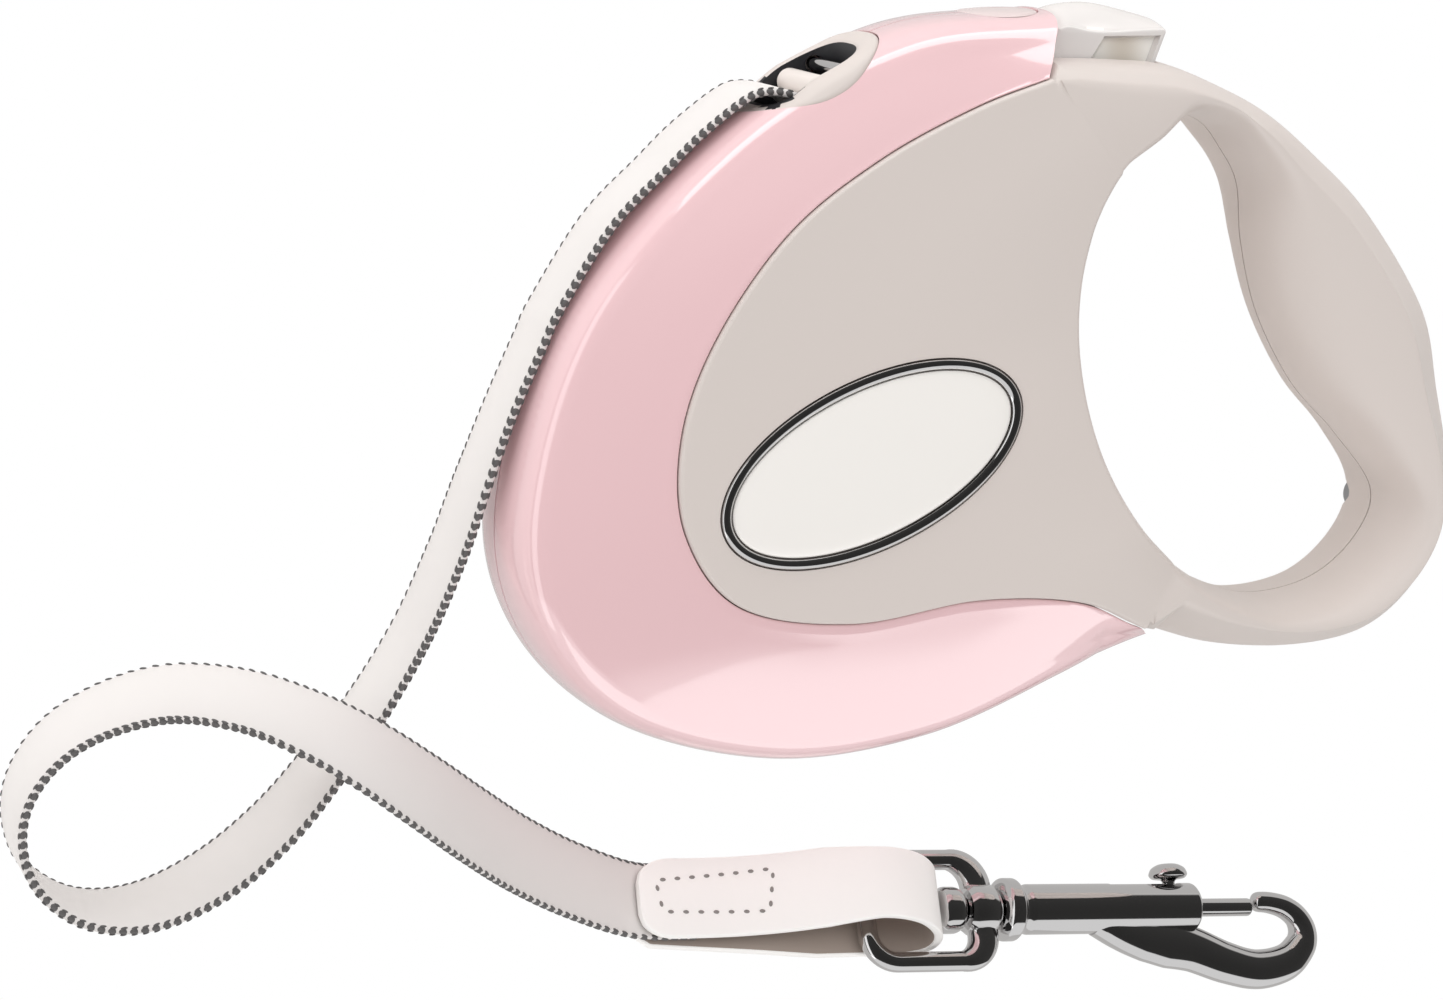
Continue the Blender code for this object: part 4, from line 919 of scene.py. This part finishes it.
# Path: the strip's middle line, from the top layer's end round the eye's bar and back.
# Parts and rates are of the width, at the top layer's end and at the lower one's
tab = {"path": [
    (-38, 0.6, 1.95), (-30, 0.9, 1.8), (-22, 1.3, 1.95), (-14, 1.8, 3), (-6, 2.3, 5.2),
    (1, 2.4, 7), (6.5, 1.8, 6.6), (10.2, 0.9, 3.9), (11.3, 0.2, 0.6), (9.6, -0.3, -2),
    (4, -0.6, -3.1), (-6, -0.5, -2.7), (-18, -0.2, -1.95), (-30, 0.2, -1.85),
    (-37.5, 0.5, -1.95)],
    "width": 12.6, "thick": 1.4, "ease": 0.35, "rings": 220, "endRound": 5.5, "endPart": 0.42,
    "lowPart": 0.8, "lowRate": 0.1, "waist": 0.1, "waistRun": 8,
    "stitch": 2.5, "stitchSize": (1, 0.62, 0.34),
    "stitchCorners": [(-35.2, 3.4), (-15.8, 5.5), (-17, -1.3), (-34.4, -1.6)]}


# The strip's middle, run, normal and half width: the top end is rounded and the fold narrower
def tabFrames():
    path = even(tab["path"], np.linspace(0, 1, tab["rings"]))
    lengths, waistRun = runsAlong(path), tab["waistRun"]
    frames = []
    for point, run, at in zip(path, np.gradient(path, axis=0), lengths):
        top = roundedEnd(at, tab["endRound"], tab["endPart"])
        low = tab["lowPart"] + tab["lowRate"] * (lengths[-1] - at)
        waist = 1.0 - tab["waist"] * min(1.0, max(0.0, (point[0] + waistRun) / waistRun))
        normal = unit((-run[2], 0, run[0]))
        frames.append((point, unit(run), normal, tab["width"] / 2 * min(top, low) * waist))
    return frames


def makeTab():
    frames = tabFrames()
    thin, ease = tab["thick"] / 2, tab["ease"]
    corner = quarterArc(5)
    rings = []
    for point, run, normal, side in frames:
        ring = []
        for sideSign, faceSign in ((1, 1), (-1, 1), (-1, -1), (1, -1)):
            steps = [(side - ease * aside, thin - ease * (1 - rise)) for aside, rise in corner]
            ring += [point + np.array((0, sideSign * across, 0)) + normal * faceSign * lift
                     for across, lift in steps[::sideSign * faceSign]]
        rings.append(ring)
    made = skin("leatherTab", rings, False, tabPlace, 50)
    dress(made, whiteLeather, "housing", "white_leather", "leather_tab")
    # The inner side takes the darker raw leather, partly painted shade inside the fold
    made.data.materials.append(rawLeather)
    sides, innerSide = len(rings[0]), 14  # the side between the ring's last two corners
    for face in made.data.polygons:
        if len(face.vertices) == 4 and face.index % sides == innerSide:
            face.material_index = 1
    rows = []
    upper = [row for row in frames if row[1][0] > 0.3 and row[0][2] > 0]
    lower = [row for row in frames if row[1][0] < -0.3 and row[0][2] < 0]
    turn = tabPlace.to_3x3()
    corners = tab["stitchCorners"]
    for (u0, v0), (u1, v1) in zip(corners, corners[1:] + corners[:1]):
        count = int(round(hypot(u1 - u0, v1 - v0) / tab["stitch"]))
        along = turn @ Vector((u1 - u0, v1 - v0, 0)).normalized()
        for part in (np.arange(count) + 0.5) / count:
            u, v = u0 + (u1 - u0) * part, v0 + (v1 - v0) * part
            for layer in (upper, lower):
                point, run, normal, side = min(layer, key=lambda row: abs(row[0][0] - u))
                place = Vector((u, v, point[2])) + Vector(normal) * tab["thick"] / 2
                rows.append((tabPlace @ (place * mm), along, turn @ Vector(normal)))
    return made, sew("tabStitches", rows, tab["stitchSize"], greyThread, "white_leather")


leatherTab, tabThread = makeTab()


# A rod along a path in the local x, y plane; radii are in the plane and out of it
def rod(name, path, radii, sides, closed, place):
    count = len(path)
    rings = []
    for index in range(count):
        before = path[index - 1] if closed or index > 0 else path[0]
        after = path[(index + 1) % count] if closed or index < count - 1 else path[-1]
        run = unit(np.asarray(after) - np.asarray(before))
        across = np.array((-run[1], run[0]))
        wide, high = radii[index]
        rings.append([(*(np.asarray(path[index]) + across * wide * cos(turn)), high * sin(turn))
                      for turn in turns(sides)])
    return skin(name, rings, closed, place)


def roundedLoop(left, right, half, radius, steps=14):
    loop = []
    for x, y, first in ((right - radius, half - radius, 0), (left + radius, half - radius, 90),
                        (left + radius, radius - half, 180), (right - radius, radius - half, 270)):
        loop += [(x + radius * cos(turn), y + radius * sin(turn))
                 for turn in np.radians(np.linspace(first, first + 90, steps))]
    return loop


# Curve: the jaw's middle line with its half widths. Other rows: radius, distance along the piece
hook = {
    "curve": [(18, -2), (23, -3.9), (29, -5.2), (35.2, -6.6), (41.6, -8.9), (47.4, -10.1),
              (52.9, -9.1), (56, -6.6), (56.8, -4.2), (55.9, -1.8), (53.6, -0.1), (50.6, 0.7),
              (47.6, 0.85)],
    "widths": [2.4, 3, 3.8, 4.1, 3.7, 3.5, 3.3, 3.2, 3, 2.6, 2, 1.8, 1.6],
    "steps": 130, "thickest": 2.6, "tipRound": 1.3, "tipPart": 0.55, "sharp": 40,
    "stem": [(0.05, -10.9), (1, -10.9), (3.2, -10.5), (3.7, -9.7), (3.7, -7.6), (3.2, -6.6),
             (1.75, -6.2), (1.75, -0.3)],
    "body": [(3.8, 0), (5, 0.9), (5, 2.9), (3.7, 3.8), (3.7, 4.6), (4, 5.2), (4, 35.6),
             (3.6, 36)],
    "bore": [(1.8, 2.2), (1.8, 37)], "slotTop": 7, "slotEnd": 1.6, "slotHalf": 1.35,
    "bolt": [(0.05, 25), (1.45, 25.1), (1.45, 46.9), (0.05, 47)], "knobAt": 32, "travel": 10,
    "knob": [(1, 1.75), (1, 4.5), (2.7, 4.7), (3.2, 5.3), (2.8, 6.4), (1.5, 7.1), (0.05, 7.1)]}


def makeSnap():
    alongX = Matrix.Rotation(pi / 2, 4, "Y")
    eyeAxis, hookAxis, sharp = eyePlace @ alongX, hookPlace @ alongX, hook["sharp"]

    right = eye["right"]
    loop = roundedLoop(eye["left"], right, eye["half"], eye["corner"])
    swell = [min(1.0, max(0.0, (x - right) / eye["swellRun"] + 1.0)) for x, y in loop]
    radii = [[eye["bar"] + most * part for most in eye["swell"]] for part in swell]
    ring = rod("swivelEye", loop, radii, 32, True, eyePlace)
    for key, sides, operation in (("boss", 64, "UNION"), ("hole", 48, "DIFFERENCE")):
        profile = [(radius, right + at) for radius, at in eye[key]]
        carve(ring, [turned(key, profile, sides, False, eyeAxis)], operation, sharp)

    stem = turned("hookStem", hook["stem"], 64, False, hookAxis, 0.5)
    body = turned("hookBody", hook["body"], 72, False, hookAxis, 0.35)
    fractions = np.linspace(0, 1, hook["steps"])
    curve = even(hook["curve"], fractions)
    widths = np.interp(fractions, np.linspace(0, 1, len(hook["widths"])), hook["widths"])
    lengths = runsAlong(curve)
    radii = []
    for wide, at in zip(widths, lengths):
        swell = roundedEnd(lengths[-1] - at, hook["tipRound"], hook["tipPart"])
        radii.append((wide * swell, min(hook["thickest"], wide) * swell))
    carve(body, [rod("jaw", curve, radii, 40, False, hookPlace)], "UNION", sharp)
    bore = turned("bore", hook["bore"], 48, False, hookAxis)
    slotEdge = boxOutline(hook["knobAt"] - hook["travel"] - hook["slotEnd"],
                          hook["knobAt"] + hook["slotEnd"], 0.0, hook["slotTop"])
    slot = prism("slot", slotEdge, -hook["slotHalf"], hook["slotHalf"], hookPlace)
    carve(body, [bore, slot], "DIFFERENCE", sharp)

    bolt = turned("hookBolt", hook["bolt"], 48, False, hookAxis, 0.5)
    knobPlace = (hookPlace @ Matrix.Translation((hook["knobAt"] * mm, 0, 0))
                 @ Matrix.Rotation(-pi / 2, 4, "X"))
    knob = turned("boltKnob", hook["knob"], 48, False, knobPlace, 0.6)
    rows = ((ring, "eye", "swivel_eye"), (stem, "hook", "hook_stem"), (body, "hook", "hook_body"),
            (bolt, "bolt", "hook_bolt"), (knob, "bolt", "bolt_knob"))
    return [dress(piece, chromePlate, rides, "bright_chrome", node) for piece, rides, node in rows]


snapPieces = makeSnap()


# A spring: a copy of its part's mesh in plain steel, riding on its body
def makeSpring(name, nodeName, body):
    node = frame["nodes"][nodeName]
    made = addObject(name, node.data.copy())
    dress(made, plainSteel, body, "spring_steel", nodeName)
    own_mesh(made)
    return made


makeSpring("brakeSpring", "brake_spring", "housing")
boltSpring = makeSpring("boltSpring", "bolt_spring", "hook")
print("tail made")

# Stage: a pale floor that is white to the camera, a soft room and four softboxes

# Ramps are (place, brightness) from the horizon up; the wall is pale below the second of its places
stage = {
    "floorColour": "#F4F3F1", "floorGlow": 0.4, "floorDrop": 0.0002,
    "floorMirrored": (0.6, 0.59, 0.58, 1),
    "room": [(0, 0.62), (0.75, 0.9)], "roomStrength": 0.55,
    "glowFrom": (-0.74, 0.66, 0.12), "glow": 0.5, "glowSpan": (0.1, 1), "tint": (1, 0.98, 0.96),
    "mirrored": [(0, 0.7), (0.06, 0.62), (0.16, 0.05), (1, 0.03)],
    "wall": 0.85, "wallPlaces": (-0.56, -0.5)}
white = (1, 1, 1, 1)


# Camera rays see white, glossy rays what pieces should mirror, and all others the shader itself
def whiteToCamera(tree, shader, output, mirrored):
    paths = addNode(tree, "ShaderNodeLightPath")
    onFloor = output.bl_idname == "ShaderNodeOutputMaterial"
    kind = "ShaderNodeEmission" if onFloor else "ShaderNodeBackground"
    shown = shader
    for ray, colour in (("Is Glossy Ray", mirrored), ("Is Camera Ray", white)):
        flat = addNode(tree, kind, {"Color": colour, "Strength": 1.0})
        shown = addNode(tree, "ShaderNodeMixShader", {0: paths.outputs[ray], 1: shown, 2: flat})
    tree.links.new(shown.outputs[0], output.inputs["Surface"])


def addRamp(tree, factor, rows):
    node = addNode(tree, "ShaderNodeValToRGB", {"Fac": factor})
    elements = node.color_ramp.elements
    while len(elements) < len(rows):
        elements.new(1.0)
    for element, (place, bright) in zip(elements, rows):
        element.position = place
        element.color = (*(part * bright for part in stage["tint"]), 1)
    return node


def addFade(tree, value, span, amounts):
    return addNode(tree, "ShaderNodeMapRange",
                   {"Value": value, "From Min": span[0], "From Max": span[1],
                    "To Min": amounts[0], "To Max": amounts[1]}, interpolation_type="SMOOTHSTEP")


def addVector(tree, operation, first, second):
    return addNode(tree, "ShaderNodeVectorMath", {0: first, 1: second}, operation=operation)


def makeFloor():
    bpy.ops.mesh.primitive_plane_add(size=6, location=(0, 0, -stage["floorDrop"]))
    floor = bpy.context.object
    floor.name = "floor"
    material = newMaterial("paleFloor", stage["floorColour"], 0.6, 0.0,
                           {"Emission Color": white, "Emission Strength": stage["floorGlow"]})
    nodes = material.node_tree.nodes
    whiteToCamera(material.node_tree, nodes["Principled BSDF"], nodes["Material Output"],
                  stage["floorMirrored"])
    floor.data.materials.append(material)


# The room is paler towards the left and the top of the picture. Pieces mirror another one: dark
# over a pale horizon, with one pale wall below the picture
def makeRoom():
    world = bpy.data.worlds.new("studio")
    world.use_nodes = True
    bpy.context.scene.world = world
    tree = world.node_tree
    place = addNode(tree, "ShaderNodeTexCoord")
    parts = addNode(tree, "ShaderNodeSeparateXYZ", {0: place})
    towards = addVector(tree, "DOT_PRODUCT", place, stage["glowFrom"])
    glow = addFade(tree, towards.outputs["Value"], stage["glowSpan"], (0.0, stage["glow"]))
    room = addVector(tree, "ADD", addRamp(tree, parts.outputs["Z"], stage["room"]), glow)
    wall = addFade(tree, parts.outputs["Y"], stage["wallPlaces"], (stage["wall"], 0.0))
    dark = addRamp(tree, parts.outputs["Z"], stage["mirrored"])
    mirrored = addVector(tree, "MAXIMUM", dark, wall)
    background = tree.nodes["Background"]
    tree.links.new(room.outputs["Vector"], background.inputs["Color"])
    background.inputs["Strength"].default_value = stage["roomStrength"]
    whiteToCamera(tree, background, tree.nodes["World Output"], mirrored)


# Each softbox: place in metres, power in watts, width, height, whether pieces mirror it and whether
# it lights the chrome
lamps = {"keyBox": ((-0.8, 0, 0.36), 1.7, 1.6, 0.3, True, True),
         "fillBox": ((0.05, 0.55, 0.85), 3.3, 0.9, 0.6, False, True),
         "lowBox": ((0.1, -0.66, 0.5), 2.3, 1.2, 0.5, True, False),
         "topBox": ((0.05, 0.9, 0.17), 3, 1.4, 0.33, True, False)}
lampAim = Vector((-0.02, -0.02, 0.015))


def makeLamps():
    metal = bpy.data.collections.new("brightMetal")
    for piece in bpy.data.objects:
        if piece.type == "MESH" and piece.data.materials and piece.data.materials[0] == chromePlate:
            metal.objects.link(piece)
    for item in metal.collection_objects:
        item.light_linking.link_state = "EXCLUDE"
    for name, (place, power, width, height, mirrors, lightsChrome) in lamps.items():
        light = bpy.data.lights.new(name, "AREA")
        light.energy = power
        light.shape = "RECTANGLE"
        light.size = width
        light.size_y = height
        lamp = addObject(name, light)
        lamp.location = place
        lamp.rotation_mode = "QUATERNION"
        lamp.rotation_quaternion = (lampAim - Vector(place)).to_track_quat("-Z", "Y")
        lamp.visible_glossy = mirrors
        if not lightsChrome:
            lamp.light_linking.receiver_collection = metal


makeFloor()
makeRoom()
makeLamps()

# Angles in degrees, target in millimetres from the datum, distance in metres
shot = {"aside": 22, "above": 12, "target": (-10, -12, 15), "away": 0.592,
        "lens": 100, "sensor": 36}


# Camera at the photograph's angle: from above, turned a little to the left and the top
def makeCamera():
    aside, above = radians(shot["aside"]), radians(shot["above"])
    back = Vector((-sin(aside) * cos(above), sin(above), cos(aside) * cos(above)))
    right = Vector((cos(aside), 0, sin(aside)))
    up = back.cross(right)
    lens = bpy.data.cameras.new("photoCamera")
    lens.lens = shot["lens"]
    lens.sensor_width = shot["sensor"]
    camera = addObject("photoCamera", lens)
    place = Vector(toFrame(shot["target"])) + back * shot["away"]
    turn = Matrix((right, up, back)).transposed().to_4x4()
    camera.matrix_world = Matrix.Translation(place) @ turn
    bpy.context.scene.camera = camera
    bpy.context.scene.view_settings.view_transform = "Standard"


makeCamera()
print("scene ready")
